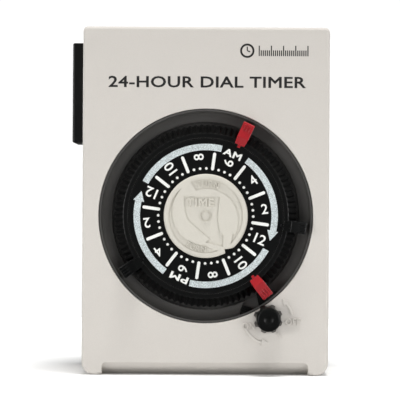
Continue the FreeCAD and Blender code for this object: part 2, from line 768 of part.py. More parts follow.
def moving_contact():
    blade = box(hinge_x, contact_x + 4.0, blade_front, blade_front + blade_w, moving_z, moving_z + blade_t)
    button = Part.makeCylinder(1.8, 0.9, at(contact_x, blade_front + blade_w / 2.0, moving_z + blade_t))
    follower = box(knob_x - 0.9, knob_x + 0.9, blade_front, blade_front + blade_w, moving_z - 1.5, moving_z)
    return blade.multiFuse([button, follower])


def detent_spring():
    z = knob_z - cam_r - 1.8
    left = switch_block_x + 4.0
    foot = box(left, left + 6.0, frame_rear, frame_rear + 0.6, z, z + 5.0)
    riser = box(left, left + 6.0, frame_rear, cam_front + cam_t, z, z + 0.6)
    leaf = box(left + 6.0, knob_x + 9.0, cam_front, cam_front + cam_t, z, z + 0.6)
    bump = box(knob_x - 1.0, knob_x + 1.0, cam_front, cam_front + cam_t, z + 0.6, z + 1.2)
    return fuse([foot, riser, leaf, bump])


def flat_pin(x, z, height):
    end = case_d + flat_pin_len
    half = height / 2.0
    blade = box(x - flat_pin_t / 2.0, x + flat_pin_t / 2.0, tail_d, end, z - half, z + half)
    tip = [e for e in blade.Edges if all(abs(v.Y - depth(end)) < 1e-6 for v in e.Vertexes)
           and abs(e.Vertexes[0].X - e.Vertexes[-1].X) > 1e-6]
    blade = blade.makeChamfer(1.2, tip)
    start = at(x - flat_pin_t, case_d + 11.5, z)
    hole = Part.makeCylinder(1.6, flat_pin_t + 2.0, start, FreeCAD.Vector(1, 0, 0))
    return blade.cut(hole)


def plug_pin_hot():
    return flat_pin(*pin_places()[0])


def plug_pin_neutral():
    return flat_pin(*pin_places()[1])


def plug_pin_ground():
    end = case_d + ground_pin_len
    z = plug_z - ground_drop
    tail = rod(0, z, ground_tail_r, tail_d, case_d)
    pin = rod(0, z, ground_pin_r, case_d, end - ground_pin_r)
    tip = Part.makeSphere(ground_pin_r, at(0, end - ground_pin_r, z))
    return tail.multiFuse([pin, tip])


def receptacle_block():
    body = box(block_x0, block_x1, block_front, block_rear, block_z0, block_z1)
    upright = [e for e in body.Edges if abs(e.Vertexes[0].X - block_x0) < 1e-6
               and abs(e.Vertexes[-1].X - block_x0) < 1e-6]
    body = body.makeFillet(0.9, upright)
    inner_wall = -case_w / 2.0 + wall
    flange_top = min(block_z1 + block_flange_w, case_h - wall - least_corner_r)
    flange = box(inner_wall, inner_wall + block_flange_t, block_front - block_flange_w, block_rear,
                 block_z0 - block_flange_w, flange_top)
    mouth = block_x0 + block_face_t
    cut = []
    for side, height in ((-1.0, hot_slot_h), (1.0, neutral_slot_h)):
        d = block_mid + side * pin_pitch / 2.0
        cut.append(box(block_x0 - 1.0, mouth + 1.0, d - slot_w / 2.0, d + slot_w / 2.0,
                       slot_z - height / 2.0, slot_z + height / 2.0))
        cut.append(box(mouth, block_x1 + 1.0, d - 2.3, d + 2.3, slot_z - 5.0, slot_z + 5.0))
    start = at(block_x0 - 1.0, block_mid, socket_ground_z)
    cut.append(Part.makeCylinder(ground_hole_r, block_face_t + 2.0, start, FreeCAD.Vector(1, 0, 0)))
    cut.append(box(mouth, block_x1 + 1.0, block_mid - 3.8, block_mid + 3.8,
                   socket_ground_z - 3.8, socket_ground_z + 3.8))
    return body.fuse(flange).cut(cut)


def socket_contact(d, z, half_gap, leaf_t, half_h, tail_x):
    """Two spring leaves, the bridge that joins them and a tail for the wiring."""
    x0 = block_x0 + block_face_t + 1.0
    bridge_x = block_x1 - 9.0
    leaves = [box(x0, bridge_x, d + side, d + side + leaf_t, z - half_h, z + half_h)
              for side in (-half_gap - leaf_t, half_gap)]
    reach = half_gap + leaf_t
    bridge = box(bridge_x, bridge_x + leaf_t, d - reach, d + reach, z - half_h, z + half_h)
    tail = box(bridge_x + leaf_t, tail_x, d - leaf_t / 2.0, d + leaf_t / 2.0,
               z - strip_w / 2.0, z + strip_w / 2.0)
    return leaves[0].multiFuse([leaves[1], bridge, tail])


socket_tail_x = block_x1 + 5.0
ground_tail_x = block_x1 + 3.0


def socket_contact_hot():
    return socket_contact(block_mid - pin_pitch / 2.0, slot_z, 0.85, 0.6, 3.0, socket_tail_x)


def socket_contact_neutral():
    return socket_contact(block_mid + pin_pitch / 2.0, slot_z, 0.85, 0.6, 3.6, socket_tail_x)


def socket_contact_ground():
    return socket_contact(block_mid, socket_ground_z, ground_hole_r + 0.15, 0.7, 3.0, ground_tail_x)


def bus_hot():
    """From the hot pin down the right of the motor and forward to the fixed contact."""
    x0 = bus_hot_x
    x1 = x0 + strip_w
    rear = tail_d + strip_t
    top = fixed_z + blade_t
    half = strip_w / 2.0
    return fuse([box((pin_pitch + flat_pin_t) / 2.0, x1, tail_d, rear, plug_z - half, plug_z + half),
                 box(x0, x1, tail_d, rear, top, plug_z + half),
                 box(x0, x1, blade_front, rear, top, top + strip_t)])


def bus_switched():
    """From the switch block up the right of the motor and across to the receptacle's hot contact."""
    x0 = knob_x - 6.3
    x1 = x0 + strip_w
    d0 = frame_rear + 10.6
    d1 = d0 + strip_t
    half = strip_w / 2.0
    hot_d = block_mid - pin_pitch / 2.0
    z_low = moving_z - 3.4
    return fuse([box(switch_block_x + switch_block_w, x1, d0, d1, z_low, z_low + strip_w),
                 box(x0, x1, d0, d1, z_low, slot_z + half),
                 box(socket_tail_x, x1, d0, d1, slot_z - half, slot_z + half),
                 box(socket_tail_x, socket_tail_x + strip_t, min(hot_d - 0.3, d0), max(hot_d + 0.3, d1),
                     slot_z - half, slot_z + half)])


def bus_neutral():
    x1 = -(pin_pitch + flat_pin_t) / 2.0
    x0 = socket_tail_x
    rear = tail_d + strip_t
    half = strip_w / 2.0
    neutral_d = block_mid + pin_pitch / 2.0
    return fuse([box(x0, x1, tail_d, rear, plug_z - half, plug_z + half),
                 box(x0, x0 + strip_w, tail_d, rear, plug_z - half, slot_z + half),
                 box(x0, x0 + strip_t, neutral_d - 0.3, rear, slot_z - half, slot_z + half)])


def ground_strap():
    """From the inner end of the round pin to the receptacle's ground contact."""
    pin_z = plug_z - ground_drop
    front = tail_d - strip_t
    x0 = ground_tail_x
    half = strip_w / 2.0
    low, high = sorted((pin_z, socket_ground_z))
    return fuse([box(x0, half, front, tail_d, pin_z - half, pin_z + half),
                 box(x0 - 3.0, x0 + strip_t, front, tail_d, low - half, high + half),
                 box(x0, x0 + strip_t, block_mid - 0.35, tail_d,
                     socket_ground_z - half, socket_ground_z + half)])


def lead(points, r):
    """A round wire along straight runs joined by tangent arcs."""
    edges = []
    last = points[0]
    for before, corner, after in zip(points, points[1:], points[2:]):
        into = corner.sub(before)
        out = after.sub(corner)
        shorter = min(into.Length, out.Length)
        into.normalize()
        out.normalize()
        half_turn = into.getAngle(out) / 2.0
        setback = 0.45 * shorter
        radius = setback / math.tan(half_turn)
        start = corner.sub(into * setback)
        end = corner.add(out * setback)
        inward = out.sub(into)
        inward.normalize()
        middle = corner.add(inward * (radius / math.cos(half_turn) - radius))
        print("lead bend radius %.2f mm" % radius)
        edges.append(Part.makeLine(last, start))
        edges.append(Part.Arc(start, middle, end).toShape())
        last = end
    edges.append(Part.makeLine(last, points[-1]))
    path = Part.Wire(edges)
    first = points[1].sub(points[0])
    section = Part.Wire(Part.makeCircle(r, points[0], first))
    return path.makePipeShell([section], True, True)


lead_r = 0.6
lead_d = tail_d + strip_t / 2.0 + 0.4


def motor_lead_hot():
    z = dial_z + 10.7
    x = motor_x + 11.0
    return lead([at(x, can_rear, z), at(x, lead_d, z), at(bus_hot_x, lead_d, z)], lead_r)


def motor_lead_neutral():
    z = dial_z + 15.0
    x = motor_x - 4.0
    return lead([at(x, can_rear, z), at(x, lead_d, z), at(x, lead_d, plug_z - strip_w / 2.0)], lead_r)


tripper_angles = {
    "tripper_red_upper": tooth_phase + 360.0 / dial_teeth * 4 - 0.4,
    "tripper_red_lower": tooth_phase + 360.0 / dial_teeth * 35 + 0.4,
    "tripper_black_right": tooth_phase + 360.0 / dial_teeth * 23,
    "tripper_black_left": tooth_phase + 360.0 / dial_teeth * 60,
}

nodes = {
    "front_cover": front_cover,
    "rear_cover": rear_cover,
    "case_screws": case_screws,
    "dial_well": dial_well,
    "dial_ring": dial_ring,
    "dial_plate": dial_plate,
    "dial_gear": dial_gear,
    "time_disc": time_disc,
    "center_post": center_post,
    "retaining_clip": retaining_clip,
    "spring_washer": spring_washer,
    "frame_plate": frame_plate,
    "plate_screws": plate_screws,
    "output_shaft": output_shaft,
    "output_pinion": output_pinion,
    "output_wheel": output_wheel,
    "idler_wheel": idler_wheel,
    "idler_pinion": idler_pinion,
    "gearcase": gearcase,
    "motor_can": motor_can,
    "coil_bobbin": coil_bobbin,
    "motor_coil": motor_coil,
    "motor_screws": motor_screws,
    "rotor_shaft": rotor_shaft,
    "rotor_magnet": rotor_magnet,
    "knob": knob,
    "switch_shaft": switch_shaft,
    "star_wheel": star_wheel,
    "switch_cam": switch_cam,
    "switch_block": switch_block,
    "fixed_contact": fixed_contact,
    "moving_contact": moving_contact,
    "detent_spring": detent_spring,
    "plug_pin_hot": plug_pin_hot,
    "plug_pin_neutral": plug_pin_neutral,
    "plug_pin_ground": plug_pin_ground,
    "receptacle_block": receptacle_block,
    "socket_contact_hot": socket_contact_hot,
    "socket_contact_neutral": socket_contact_neutral,
    "socket_contact_ground": socket_contact_ground,
    "bus_hot": bus_hot,
    "bus_switched": bus_switched,
    "bus_neutral": bus_neutral,
    "ground_strap": ground_strap,
    "motor_lead_hot": motor_lead_hot,
    "motor_lead_neutral": motor_lead_neutral,
}

os.makedirs("parts", exist_ok=True)
for name, make in nodes.items():
    make().exportStep("parts/%s.step" % name)
for name, angle in tripper_angles.items():
    tripper(angle).exportStep("parts/%s.step" % name)
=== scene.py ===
import json
import math

import bmesh
import bpy
from bpy.props import FloatProperty, FloatVectorProperty, IntProperty, PointerProperty, StringProperty
from mathutils import Matrix, Vector


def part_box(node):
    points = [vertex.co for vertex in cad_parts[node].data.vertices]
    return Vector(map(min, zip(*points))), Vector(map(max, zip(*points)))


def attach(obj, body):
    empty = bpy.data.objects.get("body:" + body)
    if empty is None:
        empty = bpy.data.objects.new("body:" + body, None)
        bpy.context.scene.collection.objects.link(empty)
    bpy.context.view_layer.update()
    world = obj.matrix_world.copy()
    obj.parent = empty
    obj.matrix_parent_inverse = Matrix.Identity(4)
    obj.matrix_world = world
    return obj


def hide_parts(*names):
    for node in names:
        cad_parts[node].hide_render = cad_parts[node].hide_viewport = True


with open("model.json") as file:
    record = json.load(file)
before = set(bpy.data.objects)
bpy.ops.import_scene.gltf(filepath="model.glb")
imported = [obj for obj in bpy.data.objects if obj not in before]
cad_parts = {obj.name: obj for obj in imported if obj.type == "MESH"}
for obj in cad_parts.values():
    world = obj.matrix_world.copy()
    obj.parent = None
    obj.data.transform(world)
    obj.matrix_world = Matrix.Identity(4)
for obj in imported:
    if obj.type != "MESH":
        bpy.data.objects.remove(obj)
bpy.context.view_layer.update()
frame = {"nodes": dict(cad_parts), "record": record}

bl_info = {
    "name": "Plug-in Dial Timer",
    "version": (1, 0, 0),
    "blender": (4, 5, 0),
    "location": "3D View > Sidebar > Dial Timer",
    "description": "Builds the outside, the markings and the finishes of a 24-hour plug-in timer",
    "category": "Object",
}

# Shapes are drawn in millimetres as (x, depth, z): depth runs back from the front face of the casing, and
# x and z start from the middle of the dial, of the knob, or of the foot of the casing.
MM = 0.001
FOOT = (0.0, 0.0)
FACE_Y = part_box("front_cover")[0].y


def middle_of(node):
    """The (x, z) of the middle of a CAD node, in millimetres."""
    low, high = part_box(node)
    return ((low.x + high.x) / 2 / MM, (low.z + high.z) / 2 / MM)


def reach_of(node):
    """Half the width of a CAD node, in millimetres."""
    low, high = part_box(node)
    return (high.x - low.x) / 2 / MM


def front_of(node):
    """How far the front of a CAD node lies behind the casing's front face, in millimetres."""
    return (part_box(node)[0].y - FACE_Y) / MM


def rear_of(node):
    """How far the rear of a CAD node lies behind the casing's front face, in millimetres."""
    return (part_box(node)[1].y - FACE_Y) / MM


DIAL = middle_of("time_disc")
SPINDLE = middle_of("switch_shaft")


# --- finishes: shared node groups ---

class Bench:
    """Lays nodes out in one tree and joins them."""

    def __init__(self, tree):
        self.tree = tree
        self.count = 0

    def add(self, kind, inputs=None, **settings):
        node = self.tree.nodes.new("ShaderNode" + kind)
        node.location = (220 * (self.count // 4), -260 * (self.count % 4))
        self.count += 1
        for name, value in settings.items():
            setattr(node, name, value)
        for name, value in (inputs or {}).items():
            self.feed(node.inputs[name], value)
        return node

    def feed(self, socket, value):
        if isinstance(value, bpy.types.NodeSocket):
            self.tree.links.new(value, socket)
        else:
            socket.default_value = value

    def math(self, operation, first, second, clamp=False):
        return self.add("Math", {0: first, 1: second}, operation=operation, use_clamp=clamp).outputs[0]

    def plus(self, first, second, clamp=False):
        return self.math("ADD", first, second, clamp)

    def minus(self, first, second, clamp=False):
        return self.math("SUBTRACT", first, second, clamp)

    def times(self, first, second, clamp=False):
        return self.math("MULTIPLY", first, second, clamp)

    def millimetres(self, place):
        """A place in metres, counted in millimetres."""
        return self.add("VectorMath", {0: place, 3: 1 / MM}, operation="SCALE").outputs[0]

    def stretch(self, place, shares):
        """A place with each axis multiplied by its own share."""
        return self.add("VectorMath", {0: place, 1: shares}, operation="MULTIPLY").outputs[0]

    def mix(self, share, first, second):
        """Two colours mixed. A colour mix takes its share, first and second at inputs 0, 6 and 7."""
        return self.add("Mix", {0: share, 6: first, 7: second}, data_type="RGBA").outputs[2]

    def noise(self, vector, scale, detail=2.0, roughness=0.5):
        values = {"Vector": vector, "Scale": scale, "Detail": detail, "Roughness": roughness}
        return self.add("TexNoise", values).outputs["Fac"]

    def group(self, tree, **inputs):
        node = self.add("Group", node_tree=tree)
        for name, value in inputs.items():
            self.feed(node.inputs[name.replace("_", " ").capitalize()], value)
        return node.outputs


def shared_group(name, inputs, outputs):
    """An empty shader node group with its sockets, and a bench to fill it."""
    tree = bpy.data.node_groups.new(name, "ShaderNodeTree")
    for socket, kind, value in inputs:
        made = tree.interface.new_socket(name=socket, in_out="INPUT", socket_type="NodeSocket" + kind)
        if value is not None:
            made.default_value = value
    for socket in outputs:
        tree.interface.new_socket(name=socket, in_out="OUTPUT", socket_type="NodeSocketFloat")
    bench = Bench(tree)
    start = tree.nodes.new("NodeGroupInput").outputs
    end = tree.nodes.new("NodeGroupOutput").inputs
    return tree, bench, start, end


def moulded_grain():
    """Spark-eroded grain of a moulding, in marks per millimetre, and the broad clouding of its colour."""
    tree, bench, start, end = shared_group(
        "moulded_grain", [("Vector", "Vector", None), ("Grain", "Float", 3.0)], ["Height", "Cloud"])
    inside = bench.millimetres(start["Vector"])
    pits = bench.add("TexVoronoi", {"Vector": inside, "Scale": start["Grain"]}, feature="SMOOTH_F1")
    fine = bench.noise(inside, bench.times(start["Grain"], 2.3), 3.0, 0.6)
    low = bench.noise(inside, 0.045, 3.0, 0.55)
    height = bench.plus(bench.times(pits.outputs["Distance"], 0.6), fine)
    bench.feed(end["Height"], height)
    bench.feed(end["Cloud"], low)
    return tree


def rubbed_edges():
    """Where handling has polished the edges, and where edges are painted lighter as a highlight. Radius is the
    width of the rubbed band, in metres.
    """
    tree, bench, start, end = shared_group(
        "rubbed_edges",
        [("Vector", "Vector", None), ("Radius", "Float", 0.0005), ("Amount", "Float", 1.0)], ["Mask"])
    rounded = bench.add("Bevel", {"Radius": start["Radius"]}, samples=4).outputs[0]
    plain = bench.add("NewGeometry").outputs["Normal"]
    turn = bench.add("VectorMath", {0: rounded, 1: plain}, operation="DOT_PRODUCT").outputs["Value"]
    edge = bench.times(bench.minus(1.0, turn), 7.0, True)
    inside = bench.millimetres(start["Vector"])
    broken = bench.times(bench.noise(inside, 0.6, 3.0, 0.65), 1.5, True)
    bench.feed(end["Mask"], bench.times(bench.times(edge, broken), start["Amount"], True))
    return tree


def settled_dust():
    """A little dust on what faces up, in soft patches."""
    tree, bench, start, end = shared_group(
        "settled_dust", [("Vector", "Vector", None), ("Amount", "Float", 0.2)], ["Mask"])
    normal = bench.add("NewGeometry").outputs["Normal"]
    up = bench.add("SeparateXYZ", {0: normal}).outputs["Z"]
    facing = bench.times(bench.minus(up, 0.15, True), 1.1)
    inside = bench.millimetres(start["Vector"])
    patches = bench.minus(bench.noise(inside, 0.9, 5.0, 0.7), 0.38, True)
    speck = bench.add("TexVoronoi", {"Vector": inside, "Scale": 1.3})
    dots = bench.math("LESS_THAN", speck.outputs["Distance"], 0.09)
    mask = bench.plus(bench.times(patches, 2.0), bench.times(dots, 0.6))
    bench.feed(end["Mask"], bench.times(bench.times(mask, facing), start["Amount"], True))
    return tree


def rolled_lines():
    """Fine lines drawn along a metal strip. Along is the stretch of the pattern on each axis."""
    tree, bench, start, end = shared_group(
        "rolled_lines", [("Vector", "Vector", None), ("Along", "Vector", (1.0, 0.05, 1.0))],
        ["Height", "Stain"])
    inside = bench.millimetres(start["Vector"])
    drawn = bench.stretch(inside, start["Along"])
    bench.feed(end["Height"], bench.noise(drawn, 9.0, 4.0, 0.7))
    bench.feed(end["Stain"], bench.noise(inside, 0.35, 4.0, 0.6))
    return tree


def round_lines():
    """Fine rings left by turning, about an axis that runs front to back."""
    tree, bench, start, end = shared_group(
        "round_lines", [("Vector", "Vector", None), ("Pitch", "Float", 4.0)], ["Height"])
    inside = bench.millimetres(start["Vector"])
    flat = bench.stretch(inside, (1.0, 0.0, 1.0))
    radius = bench.add("VectorMath", {0: flat}, operation="LENGTH").outputs["Value"]
    ringed = bench.add("CombineXYZ", {0: bench.times(radius, start["Pitch"])}).outputs[0]
    bench.feed(end["Height"], bench.noise(ringed, 1.0, 3.0, 0.6))
    return tree


def ink_film():
    """The slight unevenness of a printed film: thin places and pinholes."""
    tree, bench, start, end = shared_group("ink_film", [("Vector", "Vector", None)], ["Thin", "Height"])
    inside = bench.millimetres(start["Vector"])
    cloud = bench.noise(inside, 1.1, 4.0, 0.65)
    holes = bench.add("TexVoronoi", {"Vector": inside, "Scale": 2.6})
    pin = bench.math("LESS_THAN", holes.outputs["Distance"], 0.06)
    thin = bench.plus(bench.times(bench.minus(cloud, 0.5, True), 1.6),
                      bench.times(pin, 0.5), True)
    bench.feed(end["Thin"], thin)
    bench.feed(end["Height"], bench.noise(inside, 6.0, 2.0, 0.5))
    return tree


SHARED = {}


def shared(maker):
    """The node group that maker fills, made only once."""
    if maker.__name__ not in SHARED:
        SHARED[maker.__name__] = maker()
    return SHARED[maker.__name__]


# --- finishes: materials ---

def finish_bench(name):
    """An empty material, a bench to fill it, and the place on the piece that its patterns read."""
    material = bpy.data.materials.new(name + "_finish")
    material.use_nodes = True
    material.node_tree.nodes.clear()
    bench = Bench(material.node_tree)
    place = bench.add("TexCoord").outputs["Object"]
    return material, bench, place


def about(bench, place, middle):
    """Object coordinates counted from an axis that runs front to back through middle."""
    shift = (-middle[0] * MM, 0.0, -middle[1] * MM)
    return bench.add("Mapping", {"Vector": place, "Location": shift}).outputs[0]


def shader_end(bench, inputs):
    bench.add("OutputMaterial", {"Surface": bench.add("BsdfPrincipled", inputs).outputs[0]})


def bump(bench, height, strength, distance):
    """Small relief: distance is its depth in millimetres."""
    return bench.add("Bump", {"Height": height, "Strength": strength, "Distance": distance * MM}).outputs[0]


def shade(colour, share=1.0):
    return tuple(c * share for c in colour[:3]) + (1.0,)


def rubbed_shade(colour, lift=0.0):
    """The lighter colour of an edge that handling has rubbed, also used as a painted edge highlight."""
    return tuple(min(1.0, c * 1.2 + lift) for c in colour[:3]) + (1.0,)


DUST = (0.42, 0.41, 0.38, 1.0)


def plastic(name, colour, rough, grain=3.0, depth=0.01, cloud=0.06, edge_wear_and_light=0.25, dust=0.1, coat=0.0,
            turned=None, strength=0.35, shine=0.5):
    """A moulded plastic: clouded colour, grain or flow marks, rubbed edges that are also painted lighter as
    edge highlights, and a trace of dust. Grain is in marks per millimetre, its depth in millimetres. With
    turned, fine rings run round that (x, z) middle."""
    material, bench, place = finish_bench(name)
    skin = bench.group(shared(moulded_grain), vector=place, grain=grain)
    worn_and_lit = bench.group(shared(rubbed_edges), vector=place, amount=edge_wear_and_light)["Mask"]
    dusty = bench.group(shared(settled_dust), vector=place, amount=dust)["Mask"]
    tint = bench.mix(skin["Cloud"], shade(colour, 1.0 + cloud), shade(colour, 1.0 - cloud))
    pitted = bench.mix(bench.times(skin["Height"], 0.16), tint, shade(colour, 0.55))
    # Edges are lightened for rubbed wear, and as a painted edge highlight.
    tint = bench.mix(worn_and_lit, pitted, rubbed_shade(colour, 0.03))
    tint = bench.mix(dusty, tint, DUST)
    gloss = bench.plus(rough - 0.06, bench.times(skin["Cloud"], 0.12))
    gloss = bench.minus(gloss, bench.times(worn_and_lit, 0.08))
    gloss = bench.plus(gloss, bench.times(dusty, 0.35), True)
    height = skin["Height"]
    if turned:
        rings = bench.group(shared(round_lines), vector=about(bench, place, turned), pitch=2.6)["Height"]
        height = bench.plus(height, bench.times(rings, 0.7))
    normal = bump(bench, height, strength, depth)
    shader_end(bench, {"Base Color": tint, "Roughness": gloss, "Normal": normal, "IOR": 1.5,
                       "Specular IOR Level": shine, "Coat Weight": coat, "Coat Roughness": 0.06})
    return material


def metal(name, colour, rough, along=(1.0, 0.06, 1.0), stain=0.25):
    """A rolled or drawn metal with faint stains, and bright edges that are rubbed and also painted lighter as a
    highlight.
    """
    material, bench, place = finish_bench(name)
    lines = bench.group(shared(rolled_lines), vector=place, along=along)
    worn_and_lit = bench.group(shared(rubbed_edges), vector=place, radius=0.3 * MM, amount=0.5)["Mask"]
    height = lines["Height"]
    dull = bench.mix(bench.times(lines["Stain"], stain), shade(colour), shade(colour, 0.45))
    tint = bench.mix(bench.times(height, 0.25), dull, shade(colour, 0.7))
    # Edges lightened for rubbing, and as a painted edge highlight.
    tint = bench.mix(worn_and_lit, tint, rubbed_shade(colour))
    gloss = bench.plus(rough, bench.times(lines["Stain"], 0.22), True)
    shader_end(bench, {"Base Color": tint, "Metallic": 1.0, "Roughness": gloss,
                       "Normal": bump(bench, height, 0.3, 0.006)})
    return material


def print_ink(name, colour, rough):
    """A silk-screened film."""
    material, bench, place = finish_bench(name)
    film = bench.group(shared(ink_film), vector=place)
    tint = bench.mix(bench.times(film["Thin"], 0.35), shade(colour), shade(colour, 0.6))
    gloss = bench.plus(rough, bench.times(film["Thin"], 0.2), True)
    shader_end(bench, {"Base Color": tint, "Roughness": gloss,
                       "Normal": bump(bench, film["Height"], 0.2, 0.004)})
    return material


def silver_ink(name, colour):
    """A printed film full of aluminium flakes, so that it glitters."""
    material, bench, place = finish_bench(name)
    film = bench.group(shared(ink_film), vector=place)
    inside = bench.millimetres(place)
    flakes = bench.add("TexVoronoi", {"Vector": inside, "Scale": 5.0})
    glint = bench.add("SeparateColor", {0: flakes.outputs["Color"]}).outputs[0]
    tint = bench.mix(glint, shade(colour, 0.62), shade(colour, 1.22))
    tint = bench.mix(bench.times(film["Thin"], 0.4), tint, shade(colour, 0.4))
    shader_end(bench, {"Base Color": tint, "Metallic": 0.35,
                       "Roughness": bench.plus(0.3, bench.times(glint, 0.3)),
                       "Normal": bump(bench, glint, 0.5, 0.02)})
    return material


def wound_wire(name, colour, middle):
    """Enamelled wire wound in even turns about an axis that runs front to back, its colour painted darker
    between the turns as shade.
    """
    material, bench, place = finish_bench(name)
    inside = bench.millimetres(about(bench, place, middle))
    turns = bench.add("TexWave", {"Vector": inside, "Scale": 1.35, "Distortion": 0.6, "Detail": 1.0},
                      wave_type="BANDS", bands_direction="Y", wave_profile="SIN").outputs["Fac"]
    patch = bench.noise(inside, 0.4, 3.0)
    # Painted shade: the colour darkens between the turns.
    tint = bench.mix(turns, shade(colour, 0.35), shade(colour))
    tint = bench.mix(bench.times(patch, 0.4), tint, shade(colour, 0.6))
    shader_end(bench, {"Base Color": tint, "Metallic": 0.9, "Coat Weight": 0.6, "Coat Roughness": 0.15,
                       "Roughness": bench.plus(0.22, bench.times(patch, 0.2)),
                       "Normal": bump(bench, turns, 0.8, 0.12)})
    return material


def pressed_board(name, colour):
    """Phenolic sheet: paper fibre under a resin skin."""
    material, bench, place = finish_bench(name)
    inside = bench.millimetres(place)
    drawn = bench.stretch(inside, (0.25, 1.0, 2.5))
    fibre = bench.noise(drawn, 2.2, 6.0, 0.7)
    worn_and_lit = bench.group(shared(rubbed_edges), vector=place, amount=0.4)["Mask"]
    tint = bench.mix(fibre, shade(colour, 0.6), shade(colour, 1.5))
    # Edges lightened for rubbed wear, and as a painted edge highlight.
    tint = bench.mix(worn_and_lit, tint, shade(colour, 2.2))
    shader_end(bench, {"Base Color": tint, "Normal": bump(bench, fibre, 0.3, 0.02),
                       "Roughness": bench.plus(0.38, bench.times(fibre, 0.2))})
    return material


def sintered(name, colour):
    """Ferrite: dull, dark and faintly pitted."""
    material, bench, place = finish_bench(name)
    skin = bench.group(shared(moulded_grain), vector=place, grain=5.0)
    tint = bench.mix(skin["Height"], shade(colour, 1.5), shade(colour, 0.5))
    shader_end(bench, {"Base Color": tint, "Metallic": 0.4, "Normal": bump(bench, skin["Height"], 0.6, 0.03),
                       "Roughness": bench.plus(0.5, bench.times(skin["Cloud"], 0.2))})
    return material


def sleeve(name, colour):
    """Extruded insulation: smooth, with faint lengthwise drag marks."""
    material, bench, place = finish_bench(name)
    skin = bench.group(shared(moulded_grain), vector=place, grain=1.2)
    tint = bench.mix(skin["Cloud"], shade(colour, 1.1), shade(colour, 0.85))
    shader_end(bench, {"Base Color": tint, "Normal": bump(bench, skin["Height"], 0.25, 0.02),
                       "Roughness": bench.plus(0.4, bench.times(skin["Cloud"], 0.15))})
    return material


def backdrop_paper():
    """Matt white sweep under the timer, with the faintest fibre."""
    material, bench, place = finish_bench("backdrop_paper")
    cloud = bench.noise(place, 6.0, 4.0, 0.6)
    tint = bench.mix(cloud, (0.93, 0.93, 0.925, 1.0), (0.90, 0.90, 0.895, 1.0))
    shader_end(bench, {"Base Color": tint, "Roughness": bench.plus(0.85, bench.times(cloud, 0.1)),
                       "Normal": bump(bench, bench.noise(place, 900.0, 3.0), 0.1, 0.05)})
    return material


# Each finish is made from a colour, or from the name of a colour that the user may change.
FINISHES = {
    "casing_beige": (plastic, "casing",
        dict(rough=0.47, grain=2.4, depth=0.035, cloud=0.02, edge_wear_and_light=0.1, dust=0.0, strength=0.6)),
    "base_black": (plastic, "black",
        dict(rough=0.42, grain=2.6, depth=0.03, cloud=0.1, edge_wear_and_light=0.35, dust=0.05, shine=0.4)),
    # The bowl's colour is lifted above black plastic as painted sheen, standing in for the reflections along
    # its sides.
    "well_gloss_black": (plastic, "bowl",
        dict(rough=0.42, grain=0.22, depth=0.02, cloud=0.15, edge_wear_and_light=0.2, dust=0.05, coat=0.2)),
    # Full edge lightening on the ring and plate: painted highlights along the rib and plate edges, on top of
    # rubbed wear.
    "dial_black": (plastic, "black",
        dict(rough=0.36, grain=2.2, depth=0.015, cloud=0.15, edge_wear_and_light=1.0, dust=0.08, turned=DIAL, shine=0.4)),
    "disc_beige": (plastic, "disc",
        dict(rough=0.42, grain=2.4, depth=0.012, cloud=0.02, edge_wear_and_light=0.15, dust=0.0, turned=DIAL, strength=0.2)),
    "gear_nylon": (plastic, (0.72, 0.70, 0.63), dict(rough=0.4, grain=1.0, edge_wear_and_light=0.3, dust=0.05)),
    "tripper_red": (plastic, "red",
        dict(rough=0.26, grain=0.8, cloud=0.1, edge_wear_and_light=0.3, dust=0.03, coat=0.25)),
    "tripper_black": (plastic, "black",
        dict(rough=0.24, grain=0.8, cloud=0.1, edge_wear_and_light=0.4, dust=0.03, coat=0.1, shine=0.25)),
    "knob_black": (plastic, "knob",
        dict(rough=0.38, grain=2.8, depth=0.015, cloud=0.15, edge_wear_and_light=0.35, dust=0.1, turned=SPINDLE, shine=0.3)),
    "bobbin_white": (plastic, (0.74, 0.73, 0.69),
        dict(rough=0.42, grain=1.4, cloud=0.04, edge_wear_and_light=0.2, dust=0.05)),
    "steel": (metal, (0.56, 0.56, 0.55), dict(rough=0.28, along=(1.0, 1.0, 0.06))),
    "spring_steel": (metal, (0.42, 0.43, 0.45), dict(rough=0.24, along=(0.06, 1.0, 1.0), stain=0.15)),
    "screw_zinc": (metal, (0.66, 0.66, 0.62), dict(rough=0.34, along=(1.0, 1.0, 1.0), stain=0.35)),
    "brass": (metal, (0.72, 0.55, 0.27), dict(rough=0.24, stain=0.3)),
    "copper_alloy": (metal, (0.74, 0.42, 0.24), dict(rough=0.26, along=(1.0, 0.06, 0.5), stain=0.4)),
    "coil_copper": (wound_wire, (0.62, 0.24, 0.09), dict(middle=middle_of("rotor_shaft"))),
    "magnet_grey": (sintered, (0.1, 0.1, 0.105), {}),
    "phenolic_brown": (pressed_board, (0.16, 0.07, 0.03), {}),
    "lead_black": (sleeve, (0.02, 0.02, 0.02), {}),
    "lead_white": (sleeve, (0.75, 0.75, 0.73), {}),
    "white_ink": (print_ink, (0.84, 0.85, 0.82), dict(rough=0.45)),
    "black_ink": (print_ink, (0.018, 0.017, 0.017), dict(rough=0.4)),
    "silver_ink": (silver_ink, (0.78, 0.86, 0.87), {}),
}
MADE = {}


def finish_of(slot):
    """The material for a slot of the record, or for one of the inks, made when it is first asked for."""
    if slot not in MADE:
        maker, colour, values = FINISHES[slot]
        if isinstance(colour, str):
            colour = tuple(getattr(bpy.context.scene.timer_colours, colour))
        MADE[slot] = maker(slot, colour, **values)
    return MADE[slot]


def slot_of(node):
    """The material slot that the record gives a CAD node."""
    for part in frame["record"]["subparts"]:
        if part["node"] == node:
            return part["material_slot"]
    raise RuntimeError("the record has no subpart " + node)


# --- shapes ---

def rotate(bm, verts, angle, axis):
    bmesh.ops.rotate(bm, cent=(0, 0, 0), matrix=Matrix.Rotation(math.radians(angle), 3, axis), verts=verts)


